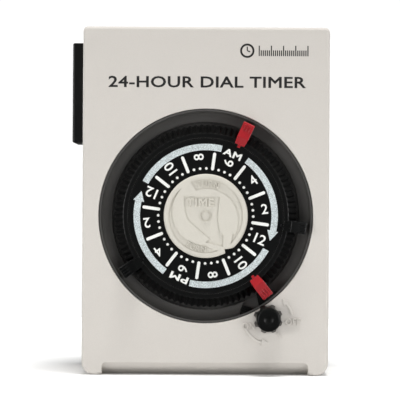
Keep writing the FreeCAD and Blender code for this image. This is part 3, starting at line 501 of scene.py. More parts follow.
def clockwise(bm, verts, angle):
    """Turns verts clockwise, seen from the front, about the axis they are drawn round."""
    rotate(bm, verts, angle, "Y")


def move(bm, verts, x=0.0, depth=0.0, z=0.0):
    bmesh.ops.translate(bm, vec=(x, depth, z), verts=verts)


def polar(r, angle, depth=0.0):
    """The place at radius r and a clockwise angle from the top, in degrees."""
    turn = math.radians(angle)
    return Vector((r * math.sin(turn), depth, r * math.cos(turn)))


def angle_of(co):
    return math.degrees(math.atan2(co.x, co.z))


def off_pitch(angle, pitch):
    """How far an angle is from the nearest multiple of pitch, with its sign."""
    return (angle + pitch / 2) % pitch - pitch / 2


def new_verts(bm, known):
    return [v for v in bm.verts if v not in known]


def verts_in(made):
    return [g for g in made["geom"] if isinstance(g, bmesh.types.BMVert)]


def loop_of(bm, verts):
    return [bm.edges.new(pair) for pair in zip(verts, verts[1:] + verts[:1])]


def edges_between(bm, verts):
    return [e for e in bm.edges if e.verts[0] in verts and e.verts[1] in verts]


def soften(bm, edges, width, segments=2, slide=False):
    """Rounds edges to a width in millimetres."""
    bmesh.ops.bevel(bm, geom=edges, offset=width, offset_type="OFFSET", segments=segments, profile=0.5,
                    affect="EDGES", material=-1, clamp_overlap=True, loop_slide=slide)


def turned(path, steps):
    """A closed ring or disc turned about the axis from (radius, depth) corners."""
    bm = bmesh.new()
    verts = [bm.verts.new((0, d, r)) for r, d in path]
    edges = [bm.edges.new(pair) for pair in zip(verts, verts[1:])]
    if path[0][0] > 0:
        edges.append(bm.edges.new((verts[-1], verts[0])))
    bmesh.ops.spin(bm, geom=verts + edges, cent=(0, 0, 0), axis=(0, 1, 0), angle=2 * math.pi, steps=steps,
                   use_merge=True)
    bmesh.ops.remove_doubles(bm, verts=bm.verts, dist=1e-4)
    bmesh.ops.recalc_face_normals(bm, faces=bm.faces)
    return bm


def flat_shape(bm, corners, depth):
    """One flat face, parallel to the front, from (x, z) corners."""
    return bm.faces.new([bm.verts.new((x, depth, z)) for x, z in corners])


def flat_circle(bm, radius, depth, segments, filled=False):
    verts = bmesh.ops.create_circle(bm, cap_ends=filled, radius=radius, segments=segments)["verts"]
    rotate(bm, verts, 90.0, "X")
    move(bm, verts, depth=depth)
    return verts


def block(bm, size, centre, edge, tilt=0.0):
    """A block of a size, tipped back by tilt degrees, with its edges rounded."""
    known = set(bm.verts)
    verts = bmesh.ops.create_cube(bm, size=1.0)["verts"]
    bmesh.ops.scale(bm, vec=size, verts=verts)
    rotate(bm, verts, tilt, "X")
    move(bm, verts, *centre)
    soften(bm, [e for e in bm.edges if e.verts[0] not in known], edge)


def raise_faces(bm, faces, height):
    """Gives flat faces a thickness towards the front, as one closed shape."""
    move(bm, verts_in(bmesh.ops.extrude_face_region(bm, geom=faces)), depth=-height)


def raise_new(bm, known, height):
    """Raises the flat faces made since known, the set of the vertices there were before."""
    raise_faces(bm, [f for f in bm.faces if f.verts[0] not in known], height)


def bar(bm, length, width, depth, height, ends):
    """A bar that stands along z, with rounded ends, raised towards the front."""
    half, tall = width / 2, length / 2
    known = set(bm.verts)
    face = flat_shape(bm, [(-half, -tall), (half, -tall), (half, tall), (-half, tall)], depth)
    bmesh.ops.bevel(bm, geom=list(face.verts), offset=half * ends, offset_type="OFFSET", segments=4,
                    profile=0.5, affect="VERTICES", material=-1, clamp_overlap=True)
    bmesh.ops.remove_doubles(bm, verts=new_verts(bm, known), dist=1e-3)
    raise_new(bm, known, height)
    return new_verts(bm, known)


def arc_band(bm, r_in, r_out, start, end, depth, height):
    """A flat band along an arc, clockwise from start to end in degrees, raised towards the front."""
    known = set(bm.verts)
    verts = [bm.verts.new(polar(r_in, start, depth)), bm.verts.new(polar(r_out, start, depth))]
    edge = bm.edges.new(verts)
    bmesh.ops.spin(bm, geom=verts + [edge], cent=(0, 0, 0), axis=(0, 1, 0), angle=math.radians(end - start),
                   steps=max(4, int(abs(end - start) / 3)))
    raise_new(bm, known, height)


def arrow_head(bm, r_in, r_out, base, tip_r, tip, depth, height):
    """A flat arrow head from its base, an angle in degrees, to a tip at radius tip_r and angle tip."""
    known = set(bm.verts)
    bm.faces.new([bm.verts.new(polar(r, a, depth)) for r, a in ((r_in, base), (r_out, base), (tip_r, tip))])
    raise_new(bm, known, height)


def lettering(bm, text, cap, width, depth, height, weight=0.0, gap=1.0):
    """Adds one line of capitals or figures in the plane of the front face, centred on the axis. With a weight
    the strokes swell by that share of the letter's size, and have rounded edges."""
    curve = bpy.data.curves.new("lettering", "FONT")
    curve.body = text
    curve.bevel_depth = weight
    curve.bevel_resolution = 1
    curve.resolution_u = 3
    curve.space_character = gap
    holder = bpy.data.objects.new("lettering", curve)
    bpy.context.scene.collection.objects.link(holder)
    ready = holder.evaluated_get(bpy.context.evaluated_depsgraph_get())
    mesh = bpy.data.meshes.new_from_object(ready)
    known = set(bm.verts)
    bm.from_mesh(mesh)
    bpy.data.objects.remove(holder)
    bpy.data.curves.remove(curve)
    bpy.data.meshes.remove(mesh)
    verts = new_verts(bm, known)
    bmesh.ops.remove_doubles(bm, verts=verts, dist=1e-5)
    verts = new_verts(bm, known)
    low = Vector([min(v.co[i] for v in verts) for i in range(3)])
    high = Vector([max(v.co[i] for v in verts) for i in range(3)])
    tall = cap / (high.y - low.y)
    wide = width / (high.x - low.x) if width else tall
    bmesh.ops.translate(bm, vec=-(low + high) / 2, verts=verts)
    bmesh.ops.scale(bm, vec=(wide, tall, height / weight if weight else 1), verts=verts)
    rotate(bm, verts, 90.0, "X")
    move(bm, verts, depth=depth)
    if not weight:
        raise_new(bm, known, height)
    return new_verts(bm, known)


def put(name, bm, middle, slot, body, nodes=(), crease=32.0):
    """Finishes a shape drawn in millimetres about middle: metres, place, smooth faces, finish and body."""
    bmesh.ops.recalc_face_normals(bm, faces=bm.faces)
    place = Matrix.Translation((middle[0] * MM, FACE_Y, middle[1] * MM)) @ Matrix.Scale(MM, 4)
    bmesh.ops.transform(bm, matrix=place, verts=bm.verts)
    mesh = bpy.data.meshes.new(name)
    bm.to_mesh(mesh)
    bm.free()
    mesh.shade_smooth()
    mesh.set_sharp_from_angle(angle=math.radians(crease))
    mesh.materials.append(finish_of(slot))
    piece = bpy.data.objects.new(name, mesh)
    bpy.context.scene.collection.objects.link(piece)
    weigh = piece.modifiers.new("even_normals", "WEIGHTED_NORMAL")
    weigh.keep_sharp = True
    weigh.weight = 90
    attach(piece, body)
    if nodes:
        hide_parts(*nodes)


def merged_copy(node):
    """The CAD node's shape in millimetres, about the foot of the casing, with flat faces joined up."""
    bm = bmesh.new()
    bm.from_mesh(frame["nodes"][node].data)
    place = Matrix.Scale(1 / MM, 4) @ Matrix.Translation((0, -FACE_Y, 0))
    bmesh.ops.transform(bm, matrix=place, verts=bm.verts)
    bmesh.ops.remove_doubles(bm, verts=bm.verts, dist=2e-3)
    bmesh.ops.dissolve_limit(bm, angle_limit=math.radians(0.4), verts=bm.verts, edges=bm.edges)
    return bm


def both(edge, test):
    return all(test(v.co) for v in edge.verts)


def corners_where(bm, test, least=0.5):
    """The edges whose ends both pass test and whose faces meet at more than least, in radians."""
    return [e for e in bm.edges
            if both(e, test) and len(e.link_faces) == 2 and e.calc_face_angle(0) > least]


def carry_over(name, node, crease, rounded=None, width=0.0, segments=2):
    """A piece for the casing with a CAD node's shape, and with the corners where rounded holds softened."""
    bm = merged_copy(node)
    if rounded:
        soften(bm, corners_where(bm, rounded), width, segments, slide=True)
    put(name, bm, FOOT, slot_of(node), "case", [node], crease)


# --- what a user would change ---

class TimerSizes(bpy.types.PropertyGroup):
    """Sizes of the outside details."""
    rib_depth: FloatProperty(name="Rib depth", description="Depth of the ring's ribs", default=1.0 * MM,
                             min=0.0, max=2.0 * MM, subtype="DISTANCE", unit="LENGTH")
    rib_count: IntProperty(name="Ribs", description="Ribs round the ring, one for each quarter of an hour",
                           default=96, min=24, max=192)
    window_edge: FloatProperty(name="Window edge", description="Rounding of the dial window's front edge",
                               default=0.3 * MM, min=0.05 * MM, max=1.0 * MM,
                               subtype="DISTANCE", unit="LENGTH")
    mark_height: FloatProperty(name="Mark height", description="How far the moulded marks stand out",
                               default=0.5 * MM, min=0.05 * MM, max=1.0 * MM,
                               subtype="DISTANCE", unit="LENGTH")
    ink_height: FloatProperty(name="Ink height", description="Thickness of the printed film",
                              default=0.03 * MM, min=0.01 * MM, max=0.2 * MM,
                              subtype="DISTANCE", unit="LENGTH")
    pocket_depth: FloatProperty(name="Pocket depth", description="Depth of the pockets in the time disc",
                                default=0.5 * MM, min=0.1 * MM, max=1.2 * MM,
                                subtype="DISTANCE", unit="LENGTH")
    numeral_cap: FloatProperty(name="Numeral height", description="Height of the hour numerals",
                               default=3.9 * MM, min=1.0 * MM, max=6.0 * MM,
                               subtype="DISTANCE", unit="LENGTH")
    title: StringProperty(name="Title", description="Plain words printed above the dial",
                          default="24-HOUR DIAL TIMER")


class TimerColours(bpy.types.PropertyGroup):
    """Colours of the mouldings."""
    casing: FloatVectorProperty(name="Casing", description="Colour of the casing", subtype="COLOR", size=3,
                                min=0.0, max=1.0, default=(0.645, 0.612, 0.570))
    disc: FloatVectorProperty(name="Time disc", description="Colour of the disc in the dial's middle",
                              subtype="COLOR", size=3, min=0.0, max=1.0, default=(0.635, 0.608, 0.54))
    black: FloatVectorProperty(name="Black parts", description="Colour of the black mouldings", subtype="COLOR",
                               size=3, min=0.0, max=1.0, default=(0.0014, 0.0017, 0.0017))
    # The bowl's default colour is lifted well above black plastic as painted sheen, standing in for the
    # reflections along its sides.
    bowl: FloatVectorProperty(name="Bowl", description="Colour of the bowl round the dial", subtype="COLOR",
                              size=3, min=0.0, max=1.0, default=(0.085, 0.082, 0.078))
    knob: FloatVectorProperty(name="Knob", description="Colour of the switch knob", subtype="COLOR", size=3,
                              min=0.0, max=1.0, default=(0.0025, 0.003, 0.0028))
    red: FloatVectorProperty(name="Red trippers", description="Colour of the switch-on trippers",
                             subtype="COLOR", size=3, min=0.0, max=1.0, default=(0.36, 0.012, 0.018))


def sizes():
    return bpy.context.scene.timer_sizes


def in_mm(name):
    return getattr(sizes(), name) / MM


# --- the casing ---

class BuildCasing(bpy.types.Operator):
    """Builds the beige front cover and the rear cover"""
    bl_idname = "timer.build_casing"
    bl_label = "Casing"

    def execute(self, context):
        def from_dial(co):
            return math.hypot(co.x - DIAL[0], co.z - DIAL[1])

        def on_face(co):
            return abs(co.y) < 0.01

        cover = merged_copy("front_cover")
        window = max(from_dial(v.co) for v in cover.verts
                     if on_face(v.co) and from_dial(v.co) < reach_of("dial_well"))
        cover.free()
        carry_over("casing_front", "front_cover", 34.0,
                   lambda co: on_face(co) and abs(from_dial(co) - window) < 0.06, in_mm("window_edge"), 4)
        carry_over("casing_rear", "rear_cover", 34.0)
        return {"FINISHED"}


class BuildMouldedMarks(bpy.types.Operator):
    """Raises the moulded OFF and ON words, the arrows and the tick round the knob"""
    bl_idname = "timer.build_moulded_marks"
    bl_label = "Moulded marks"

    def execute(self, context):
        rise = in_mm("mark_height")
        sunk = 0.05
        tall = rise + sunk
        cap = 2.6
        bm = bmesh.new()
        for word, width, x, z in (("OFF", 6.1, 9.4, -1.1), ("ON", 4.7, -7.4, -2.8)):
            move(bm, lettering(bm, word, cap, width, sunk, tall, 0.02), x, 0, z)
        arc_band(bm, 8.75, 9.55, 50.0, 81.0, sunk, tall)
        arrow_head(bm, 7.7, 10.7, 50.0, 9.4, 36.0, sunk, tall)
        arc_band(bm, 9.0, 9.8, 195.0, 248.0, sunk, tall)
        arrow_head(bm, 7.9, 10.9, 195.0, 9.0, 181.0, sunk, tall)
        tick = bar(bm, 2.6, 0.7, sunk, tall, 0.6)
        move(bm, tick, z=7.6)
        clockwise(bm, tick, 146.0)
        soften(bm, corners_where(bm, lambda co: co.y < -rise * 0.9, 1.0), 0.1)
        put("moulded_marks", bm, SPINDLE, "casing_beige", "case")
        return {"FINISHED"}


class BuildTitle(bpy.types.Operator):
    """Prints the plain black title and a small clock sign with a row of hour strokes"""
    bl_idname = "timer.build_title"
    bl_label = "Printed title"

    def execute(self, context):
        film = in_mm("ink_height")
        casing_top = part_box("front_cover")[1].z / MM
        cap, width, right, drop = 4.4, 76.0, 0.3, 21.2
        words = bmesh.new()
        title = lettering(words, sizes().title, cap, width, 0.0, film, 0.02, 1.04)
        move(words, title, right, 0, casing_top - drop)
        put("printed_title", words, FOOT, "black_ink", "case")
        sign = bmesh.new()
        face_in, face_out, line = 2.0, 2.75, 0.45
        for start in (0.0, 180.0):
            arc_band(sign, face_in, face_out, start, start + 180.0, 0.0, film)
        for length, angle in ((1.6, 0.0), (1.2, 110.0)):
            hand = bar(sign, length, line, 0.0, film, 0.8)
            move(sign, hand, z=length / 2)
            clockwise(sign, hand, angle)
        for n in range(25):
            tall = 4.0 if n % 6 == 0 else 2.2
            move(sign, bar(sign, tall, 0.42, 0.0, film, 0.4), 4.6 + 0.78 * n, 0, tall / 2 - face_in)
        put("printed_clock_sign", sign, (15.6, casing_top - 9.1), "black_ink", "case")
        return {"FINISHED"}


# --- the dial ---

RIB_BAND = 3.6  # width of the ribbed slope round the ring

class BuildWell(bpy.types.Operator):
    """Builds the glossy black bowl that the dial turns in"""
    bl_idname = "timer.build_well"
    bl_label = "Dial well"

    def execute(self, context):
        carry_over("glossy_well", "dial_well", 30.0)
        return {"FINISHED"}


class BuildRing(bpy.types.Operator):
    """Turns the dial ring and cuts its ribs"""
    bl_idname = "timer.build_ring"
    bl_label = "Dial ring"
    steps_per_rib = 6
    first_groove = 10.25  # degrees clockwise from the top
    groove_half = 0.36  # half a groove's width, as a share of the pitch

    def execute(self, context):
        rim = reach_of("dial_ring")
        front, rear = front_of("dial_ring"), rear_of("dial_ring")
        band = rim - RIB_BAND
        seat = band - 1.8
        bore = reach_of("center_post") + 0.05
        hub, boss = 7.0, 5.5
        slope_end, skirt_end = front + 4.0, front + 7.6
        bm = turned([
            (bore, front + 0.9), (seat, front + 0.9), (seat, front + 0.15), (seat + 0.15, front),
            (band - 0.1, front), (band + 0.1, front + 0.1), (band + 0.5, front + 0.55),
            (band + 1.7, front + 1.9), (rim - 0.25, slope_end - 0.3), (rim, slope_end + 0.1), (rim, skirt_end),
            (rim - 2.4, skirt_end), (rim - 2.4, slope_end + 1.0), (seat - 0.5, front + 2.9),
            (hub, front + 2.9), (hub, rear - 2.0), (boss, rear - 2.0), (boss, rear), (bore, rear),
        ], sizes().rib_count * self.steps_per_rib)
        self.cut_ribs(bm, rim, band, slope_end, skirt_end)
        put("ribbed_ring", bm, DIAL, "dial_black", "dial", ["dial_ring"], 24.0)
        return {"FINISHED"}

    def cut_ribs(self, bm, rim, band, slope_end, skirt_end):
        """Presses a groove in between the ribs, full on the rim and shallower up the slope."""
        pitch = 360.0 / sizes().rib_count
        depth = in_mm("rib_depth")
        for vert in bm.verts:
            r = math.hypot(vert.co.x, vert.co.z)
            on_rim = r > rim - 0.6
            on_slope = vert.co.y < slope_end
            if r > band + 0.3 and vert.co.y < skirt_end + 0.1 and (on_rim or on_slope):
                off = abs(off_pitch(angle_of(vert.co) - self.first_groove, pitch)) / pitch
                share = max(0.0, 1.0 - off / self.groove_half)
                grow = min(1.0, 0.35 + 0.65 * (r - band) / (rim - band))
                cut = depth * share * grow
                inward = (r - cut * (1.0 if on_rim else 0.74)) / r
                vert.co.x *= inward
                vert.co.z *= inward
                if on_slope:
                    vert.co.y += cut * 0.5


class BuildPlate(bpy.types.Operator):
    """Builds the black hour plate and prints its numerals, strokes, dots and arrows"""
    bl_idname = "timer.build_plate"
    bl_label = "Hour plate"

    hour_turn: FloatProperty(name="Hour turn", description="Turn of the first numeral from the top, in degrees",
                             default=22.9)

    def execute(self, context):
        front, rear = front_of("dial_plate"), rear_of("dial_plate")
        rim, hole = reach_of("dial_plate"), 12.0
        plate = turned([(hole, front + 0.1), (hole + 0.1, front), (rim - 0.12, front), (rim, front + 0.12),
                        (rim, rear), (hole, rear)], 144)
        put("hour_plate", plate, DIAL, "dial_black", "dial", ["dial_plate"])
        white = bmesh.new()
        for n in range(12):
            self.print_hour(white, (6 - 2 * n) % 12 or 12, self.hour_turn + 30.0 * n, front)
        film = in_mm("ink_height")
        for word, angle in (("AM", 23.2), ("PM", 203.0)):
            verts = lettering(white, word, 2.7, 7.3, front, film, 0.035, 1.12)
            move(white, verts, z=25.9)
            clockwise(white, verts, angle)
        put("white_hour_print", white, DIAL, "white_ink", "dial")
        silver = bmesh.new()
        inner, outer = 25.3, 27.8
        for half in (0.0, 180.0):
            arc_band(silver, inner, outer, 118.8 + half, 193.2 + half, front, film)
            arc_band(silver, inner, outer, 36.0 + half, 102.3 + half, front, film)
            arrow_head(silver, inner - 1.0, outer + 0.8, 102.3 + half, 26.5, 111.0 + half, front, film)
        put("silver_arc_print", silver, DIAL, "silver_ink", "dial")
        return {"FINISHED"}

    def print_hour(self, bm, hour, angle, front):
        """One numeral on its side, the stroke before it and the three dots at it."""
        film = in_mm("ink_height")
        width = 4.5 if hour > 9 else 2.5
        numeral = lettering(bm, str(hour), in_mm("numeral_cap"), width, front, film, 0.014, 0.94)
        move(bm, numeral, 22.2 if hour == 6 else 22.8)
        clockwise(bm, numeral, angle - 90.0)
        stroke = bar(bm, 6.9, 1.2, front, film, 0.95)
        move(bm, stroke, z=21.15)
        clockwise(bm, stroke, angle - 15.0)
        for turn in (-7.5, 0.0, 7.5):
            known = set(bm.verts)
            dot = flat_circle(bm, 0.53, front, 12, filled=True)
            move(bm, dot, z=18.3)
            clockwise(bm, dot, angle + turn)
            raise_new(bm, known, film)


class BuildTimeDisc(bpy.types.Operator):
    """Builds the fixed disc in the middle, with its pockets, raised words and pointer notch"""
    bl_idname = "timer.build_time_disc"
    bl_label = "Time disc"

    def rim_radius(self, angle, full):
        """The disc's edge, with the notch that marks the time."""
        start, end, deep = 139.0, 150.5, 1.5
        share = (angle % 360.0 - start) / (end - start)
        return full - deep * share if 0.0 < share < 1.0 else full

    def band(self, bm, points, depth):
        """A closed outline from (radius, clockwise angle) corners, with arcs between them."""
        verts = []
        for (r0, a0), (r1, a1) in zip(points, points[1:] + points[:1]):
            parts = max(1, int(abs(a1 - a0) / 4.0))
            verts += [bm.verts.new(polar(r0 + (r1 - r0) * k / parts, a0 + (a1 - a0) * k / parts, depth))
                      for k in range(parts)]
        return loop_of(bm, verts)

    def execute(self, context):
        front, rear = front_of("time_disc"), rear_of("time_disc")
        full = reach_of("time_disc")
        floor = front + in_mm("pocket_depth")
        bm = bmesh.new()
        levels = []
        for inset, depth in ((0.75, front), (0.5, front + 0.06), (0.2, front + 0.3), (0.0, front + 0.75),
                             (0.0, rear)):
            ring = bmesh.ops.create_circle(bm, radius=full, segments=180)["verts"]
            for vert in ring:
                angle = math.degrees(math.atan2(vert.co.x, vert.co.y))
                vert.co = polar(self.rim_radius(angle, full) - inset, angle, depth)
            levels.append(edges_between(bm, ring))
        for one, two in zip(levels, levels[1:]):
            bmesh.ops.bridge_loops(bm, edges=one + two)
        bmesh.ops.holes_fill(bm, edges=levels[-1], sides=0)
        pockets = [
            self.band(bm, [(14.3, -24.0), (14.3, 40.0), (14.3, 138.0), (12.2, 124.0), (13.3, 119.0),
                           (12.6, 104.0), (12.1, 85.0), (11.4, 60.0), (10.6, 25.0), (10.4, -21.0)], front),
            self.band(bm, [(14.1, 320.0), (14.3, 300.0), (14.3, 159.0), (11.1, 180.5), (11.2, 200.0),
                           (12.0, 235.0), (12.8, 275.0)], front),
            loop_of(bm, [bm.verts.new((x, front, z)) for x, z in (
                (-8.6, 7.6), (5.5, 7.4), (4.7, 1.0), (4.9, -2.8), (5.6, -6.8), (6.8, -7.0), (6.75, -11.7),
                (0.0, -10.1), (1.5, -8.8), (-4.8, -3.7), (-7.2, -1.1), (-8.1, 1.8))]),
            edges_between(bm, flat_circle(bm, 1.9, front, 40)),
        ]
        every = levels[0] + [e for pocket in pockets for e in pocket]
        bmesh.ops.triangle_fill(bm, use_beauty=True, use_dissolve=False, edges=every, normal=(0, -1, 0))
        for face in list(bm.faces):
            centre = face.calc_center_median()
            if all(abs(v.co.y - front) < 1e-4 for v in face.verts) and self.inside(centre, pockets):
                bm.faces.remove(face)
        for pocket, bottom in zip(pockets, (floor, floor, floor, front + 1.1)):
            self.sink(bm, pocket, bottom - front)
        for spread, radius, way in (((-13.5, -2.6, 8.3, 19.0), 12.45, 0.0),
                                    ((212.0, 202.6, 193.2, 183.4), -12.75, 180.0)):
            for letter, angle in zip("TURN", spread):
                verts = lettering(bm, letter, 2.3, 1.75, floor, floor - front, 0.02)
                move(bm, verts, z=radius)
                clockwise(bm, verts, angle - way)
        move(bm, lettering(bm, "TIME", 3.2, 10.8, floor, floor - front, 0.03, 1.05), -2.1, 0, 5.2)
        put("time_disc_face", bm, DIAL, "disc_beige", "case", ["time_disc"], 30.0)
        return {"FINISHED"}

    def inside(self, point, pockets):
        """Whether a place on the disc's face lies in one of the pockets."""
        for pocket in pockets:
            crossings = 0
            for edge in pocket:
                a, b = (v.co for v in edge.verts)
                if (a.z > point.z) != (b.z > point.z):
                    if point.x < a.x + (point.z - a.z) * (b.x - a.x) / (b.z - a.z):
                        crossings += 1
            if crossings % 2:
                return True
        return False

    def sink(self, bm, edges, depth):
        """Walls and floor of a pocket below its outline."""
        made = bmesh.ops.extrude_edge_only(bm, edges=edges)
        verts = verts_in(made)
        lower = [g for g in made["geom"] if isinstance(g, bmesh.types.BMEdge)
                 and all(v in verts for v in g.verts)]
        move(bm, verts, depth=depth)
        bmesh.ops.triangle_fill(bm, use_beauty=True, use_dissolve=False, edges=lower, normal=(0, -1, 0))


class BuildTrippers(bpy.types.Operator):
    """Builds the two red and two black trippers that clip over the ring"""
    bl_idname = "timer.build_trippers"
    bl_label = "Trippers"

    def execute(self, context):
        axis = Vector(DIAL)
        for node in ("tripper_red_upper", "tripper_red_lower", "tripper_black_right", "tripper_black_left"):
            offset = Vector(middle_of(node)) - axis
            angle = math.degrees(math.atan2(offset.x, offset.y))
            bm = self.clip()
            clockwise(bm, list(bm.verts), angle)
            slot = "tripper_red" if "red" in node else "tripper_black"
            put("clip_" + node.removeprefix("tripper_"), bm, DIAL, slot, node, [node], 34.0)
        return {"FINISHED"}

    def clip(self):
        """One tripper at the top of the dial: a roof over the ring, a leg behind the teeth and a nub."""
        band = reach_of("dial_ring") - RIB_BAND
        ridge, inner, outer = band + 1.2, band - 1.7, reach_of("dial_ring") + 3.8
        face_depth = front_of("dial_ring") - 0.35
        leg = face_depth + 4.25
        profile = [
            (inner, -1.7), (ridge, -4.2), (outer - 0.5, -2.8), (outer, -2.2), (outer, 3.4), (outer - 1.4, 5.6),
            (outer - 3.45, 5.6), (outer - 3.45, leg), (band + 0.15, face_depth), (inner, face_depth),
        ]
        half = 2.3
        bm = bmesh.new()
        face = bm.faces.new([bm.verts.new((-half, d, r)) for r, d in profile])
        move(bm, verts_in(bmesh.ops.extrude_face_region(bm, geom=[face])), 2 * half)
        taper = 0.145
        for vert in bm.verts:
            if vert.co.z < ridge:
                vert.co.x *= 1.0 - taper * (ridge - vert.co.z) / (ridge - inner)
        bmesh.ops.recalc_face_normals(bm, faces=bm.faces)
        soften(bm, list(bm.edges), 0.22)
        tilt = math.degrees(math.atan2(1.4, outer - 0.5 - ridge))
        for x in (-1.1, 0.0, 1.1):
            block(bm, (0.36, 0.5, outer - ridge - 1.4), (x, -3.45, (ridge + outer) / 2 - 0.1), 0.09, tilt)
        block(bm, (1.2, 1.7, 2.0), (0, -0.62, inner - 0.08), 0.2)
        return bm


# --- the switch ---

class BuildKnob(bpy.types.Operator):
    """Builds the fluted knob and the star wheel behind it"""
    bl_idname = "timer.build_knob"
    bl_label = "Knob and star wheel"

    lobes: IntProperty(name="Lobes", description="Finger lobes round the knob", default=8, min=3, max=16)

    def execute(self, context):
        front, rear = front_of("knob"), rear_of("knob")
        wide = 5.6
        top = wide - 1.0
        bm = turned([
            (0.0, front + 0.35), (1.3, front + 0.35), (1.6, front + 0.1), (2.0, front), (top - 0.9, front),
            (top - 0.4, front + 0.12), (top - 0.08, front + 0.5), (top + 0.1, front + 1.2),
            (wide - 0.12, rear - 0.6), (wide, rear - 0.35), (wide, rear), (2.0, rear), (2.0, front + 1.6),
            (0.0, front + 1.6),
        ], 192)
        pitch = 360.0 / self.lobes
        first_lobe, plain, cutter, reach = 20.0, 2.2, 1.45, wide + 0.55
        for vert in bm.verts:
            r = math.hypot(vert.co.x, vert.co.z)
            off = math.radians(off_pitch(angle_of(vert.co) - first_lobe - pitch / 2, pitch))
            side = reach * math.sin(off)
            if r > plain and abs(side) < cutter:
                limit = reach * math.cos(off) - math.sqrt(cutter ** 2 - side ** 2)
                if r > limit:
                    keep = (limit - 0.25 * max(0.0, 0.75 - (r - limit))) / r
                    vert.co.x *= keep
                    vert.co.z *= keep
        put("fluted_knob", bm, SPINDLE, "knob_black", "switch_spindle", ["knob"], 40.0)
        self.star()
        return {"FINISHED"}

    def star(self):
        """Eight teeth from a root circle, whose radius is a share of the tips', to flat tips."""
        front, rear = front_of("star_wheel"), rear_of("star_wheel")
        tip, root = 10.4, 0.56
        bm = bmesh.new()
        corners = [polar(tip * r, 22.5 + 45.0 * n + a) for n in range(8)
                   for r, a in ((root, -14.0), (1.0, -3.5), (1.0, 3.5), (root, 14.0))]
        raise_faces(bm, [flat_shape(bm, [(c.x, c.z) for c in corners], rear)], rear - front)
        edges = [e for e in bm.edges if both(e, lambda co: co.y < front + 0.01)]
        bmesh.ops.recalc_face_normals(bm, faces=bm.faces)
        soften(bm, edges, 0.25)
        put("star_of_the_switch", bm, SPINDLE, "knob_black", "switch_spindle", ["star_wheel"], 34.0)


# --- plug, receptacle and screws ---

class BuildReceptacle(bpy.types.Operator):
    """Builds the black receptacle block on the side"""
    bl_idname = "timer.build_receptacle"
    bl_label = "Receptacle"

    def execute(self, context):
        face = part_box("receptacle_block")[0].x / MM
        carry_over("receptacle_body", "receptacle_block", 34.0, lambda co: abs(co.x - face) < 0.01, 0.35)
        return {"FINISHED"}


class BuildPlug(bpy.types.Operator):
    """Builds the two flat pins and the round pin of the plug"""
    bl_idname = "timer.build_plug"
    bl_label = "Plug pins"

    def execute(self, context):
        for node in ("plug_pin_hot", "plug_pin_neutral", "plug_pin_ground"):
            carry_over("bright_" + node.removeprefix("plug_"), node, 30.0)
        return {"FINISHED"}


class BuildScrews(bpy.types.Operator):
    """Builds the four casing screws in the rear cover"""
    bl_idname = "timer.build_screws"
    bl_label = "Casing screws"

    def execute(self, context):
        rim = rear_of("case_screws")
        carry_over("casing_screws", "case_screws", 34.0, lambda co: abs(co.y - rim) < 0.01, 0.3, 3)
        return {"FINISHED"}


class FinishMovement(bpy.types.Operator):
    """Gives every inner part of the movement and the wiring its own finish"""
    bl_idname = "timer.finish_movement"
    bl_label = "Movement"

    def execute(self, context):
        for name, node in frame["nodes"].items():
            if not node.hide_render:
                node.data.materials.clear()
                node.data.materials.append(finish_of(slot_of(name)))
        return {"FINISHED"}


# --- the stage ---

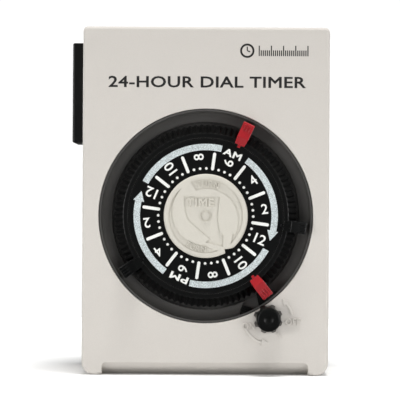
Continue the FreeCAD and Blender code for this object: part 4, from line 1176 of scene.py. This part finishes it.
class BuildStage(bpy.types.Operator):
    """Sets the pale floor, the soft studio lights and the camera"""
    bl_idname = "timer.build_stage"
    bl_label = "Stage"

    distance: FloatProperty(name="Distance", description="From the camera to the timer's front",
                            default=0.7, min=0.2, max=5.0, subtype="DISTANCE", unit="LENGTH")
    view_width: FloatProperty(name="View width", description="Width of the view at the timer's front",
                              default=0.15378, min=0.02, max=2.0, subtype="DISTANCE", unit="LENGTH")
    floor_radius: FloatProperty(name="Floor radius", description="Size of the pale floor",
                                default=0.32, min=0.1, max=5.0, subtype="DISTANCE", unit="LENGTH")

    def execute(self, context):
        scene = context.scene
        bm = bmesh.new()
        bmesh.ops.create_circle(bm, cap_ends=True, radius=self.floor_radius, segments=96)
        mesh = bpy.data.meshes.new("floor")
        bm.to_mesh(mesh)
        bm.free()
        mesh.materials.append(backdrop_paper())
        floor = bpy.data.objects.new("floor", mesh)
        scene.collection.objects.link(floor)
        floor.visible_glossy = False
        self.sky(scene)
        middle = Vector((DIAL[0] * MM, FACE_Y, DIAL[1] * MM))
        # name, place from the dial's middle in metres, width and height, watts, whether gloss mirrors it
        lamps = (
            ("overhead", (0.06, -0.12, 1.15), (0.35, 0.35), 14.0, False),
            ("left_softbox", (-0.95, -0.80, 0.05), (0.35, 0.6), 5.0, True),
            ("right_softbox", (0.95, -0.80, 0.05), (0.35, 0.6), 4.7, True),
            ("rear_left_softbox", (-0.80, 0.95, 0.25), (0.5, 0.6), 5.0, True),
            ("rear_right_softbox", (0.80, 0.95, 0.25), (0.5, 0.6), 5.0, True),
        )
        for name, offset, (wide, tall), power, mirrored in lamps:
            light = bpy.data.lights.new(name, "AREA")
            light.shape = "RECTANGLE"
            light.size, light.size_y = wide, tall
            light.energy = power
            lamp = bpy.data.objects.new(name, light)
            lamp.location = middle + Vector(offset)
            lamp.rotation_mode = "QUATERNION"
            lamp.rotation_quaternion = (-Vector(offset)).to_track_quat("-Z", "Y")
            lamp.visible_glossy = mirrored
            lamp.visible_camera = False
            scene.collection.objects.link(lamp)
        self.camera(scene)
        scene.view_settings.view_transform = "Standard"
        return {"FINISHED"}

    def sky(self, scene):
        """White behind the timer, soft light all round, and little of it in reflections."""
        world = bpy.data.worlds.new("white_room")
        scene.world = world
        world.use_nodes = True
        world.cycles.sampling_method = "NONE"
        bench = Bench(world.node_tree)
        world.node_tree.nodes.clear()
        rays = bench.add("LightPath").outputs
        all_round, behind, held_from_gloss = 0.35, 0.7, 0.22
        soft = bench.plus(all_round, bench.times(rays["Is Camera Ray"], behind))
        level = bench.minus(soft, bench.times(rays["Is Glossy Ray"], held_from_gloss))
        back = bench.add("Background", {"Color": (1.0, 1.0, 0.995, 1.0), "Strength": level})
        bench.add("OutputWorld", {"Surface": back.outputs[0]})

    def camera(self, scene):
        lens = bpy.data.cameras.new("camera")
        lens.lens = lens.sensor_width * self.distance / self.view_width
        lens.clip_start, lens.clip_end = 0.01, 20.0
        camera = bpy.data.objects.new("camera", lens)
        aim_x, aim_z, roll = -2.23 * MM, 67.41 * MM, math.radians(0.35)
        camera.location = (aim_x, FACE_Y - self.distance, aim_z)
        level = Matrix.Rotation(math.radians(90), 4, "X")
        camera.rotation_euler = (level @ Matrix.Rotation(roll, 4, "Z")).to_euler()
        scene.collection.objects.link(camera)
        scene.camera = camera


OPERATORS = (BuildCasing, BuildMouldedMarks, BuildTitle, BuildWell, BuildRing, BuildPlate, BuildTimeDisc,
             BuildTrippers, BuildKnob, BuildReceptacle, BuildPlug, BuildScrews, FinishMovement, BuildStage)


class DIALTIMER_PT_build(bpy.types.Panel):
    """Lists the builders and the values that they use"""
    bl_idname = "DIALTIMER_PT_build"
    bl_label = "Dial Timer"
    bl_space_type = "VIEW_3D"
    bl_region_type = "UI"
    bl_category = "Dial Timer"

    def draw(self, context):
        layout = self.layout
        for group in (context.scene.timer_sizes, context.scene.timer_colours):
            box = layout.box()
            for name in group.__annotations__:
                box.prop(group, name)
        for operator in OPERATORS:
            layout.operator(operator.bl_idname)


CLASSES = (TimerSizes, TimerColours) + OPERATORS + (DIALTIMER_PT_build,)


def register():
    for made in CLASSES:
        bpy.utils.register_class(made)
    bpy.types.Scene.timer_sizes = PointerProperty(type=TimerSizes)
    bpy.types.Scene.timer_colours = PointerProperty(type=TimerColours)


def unregister():
    del bpy.types.Scene.timer_colours
    del bpy.types.Scene.timer_sizes
    for made in reversed(CLASSES):
        bpy.utils.unregister_class(made)


def main():
    register()
    for operator in OPERATORS:
        group, call = operator.bl_idname.split(".")
        getattr(getattr(bpy.ops, group), call)()


if __name__ == "__main__":
    main()
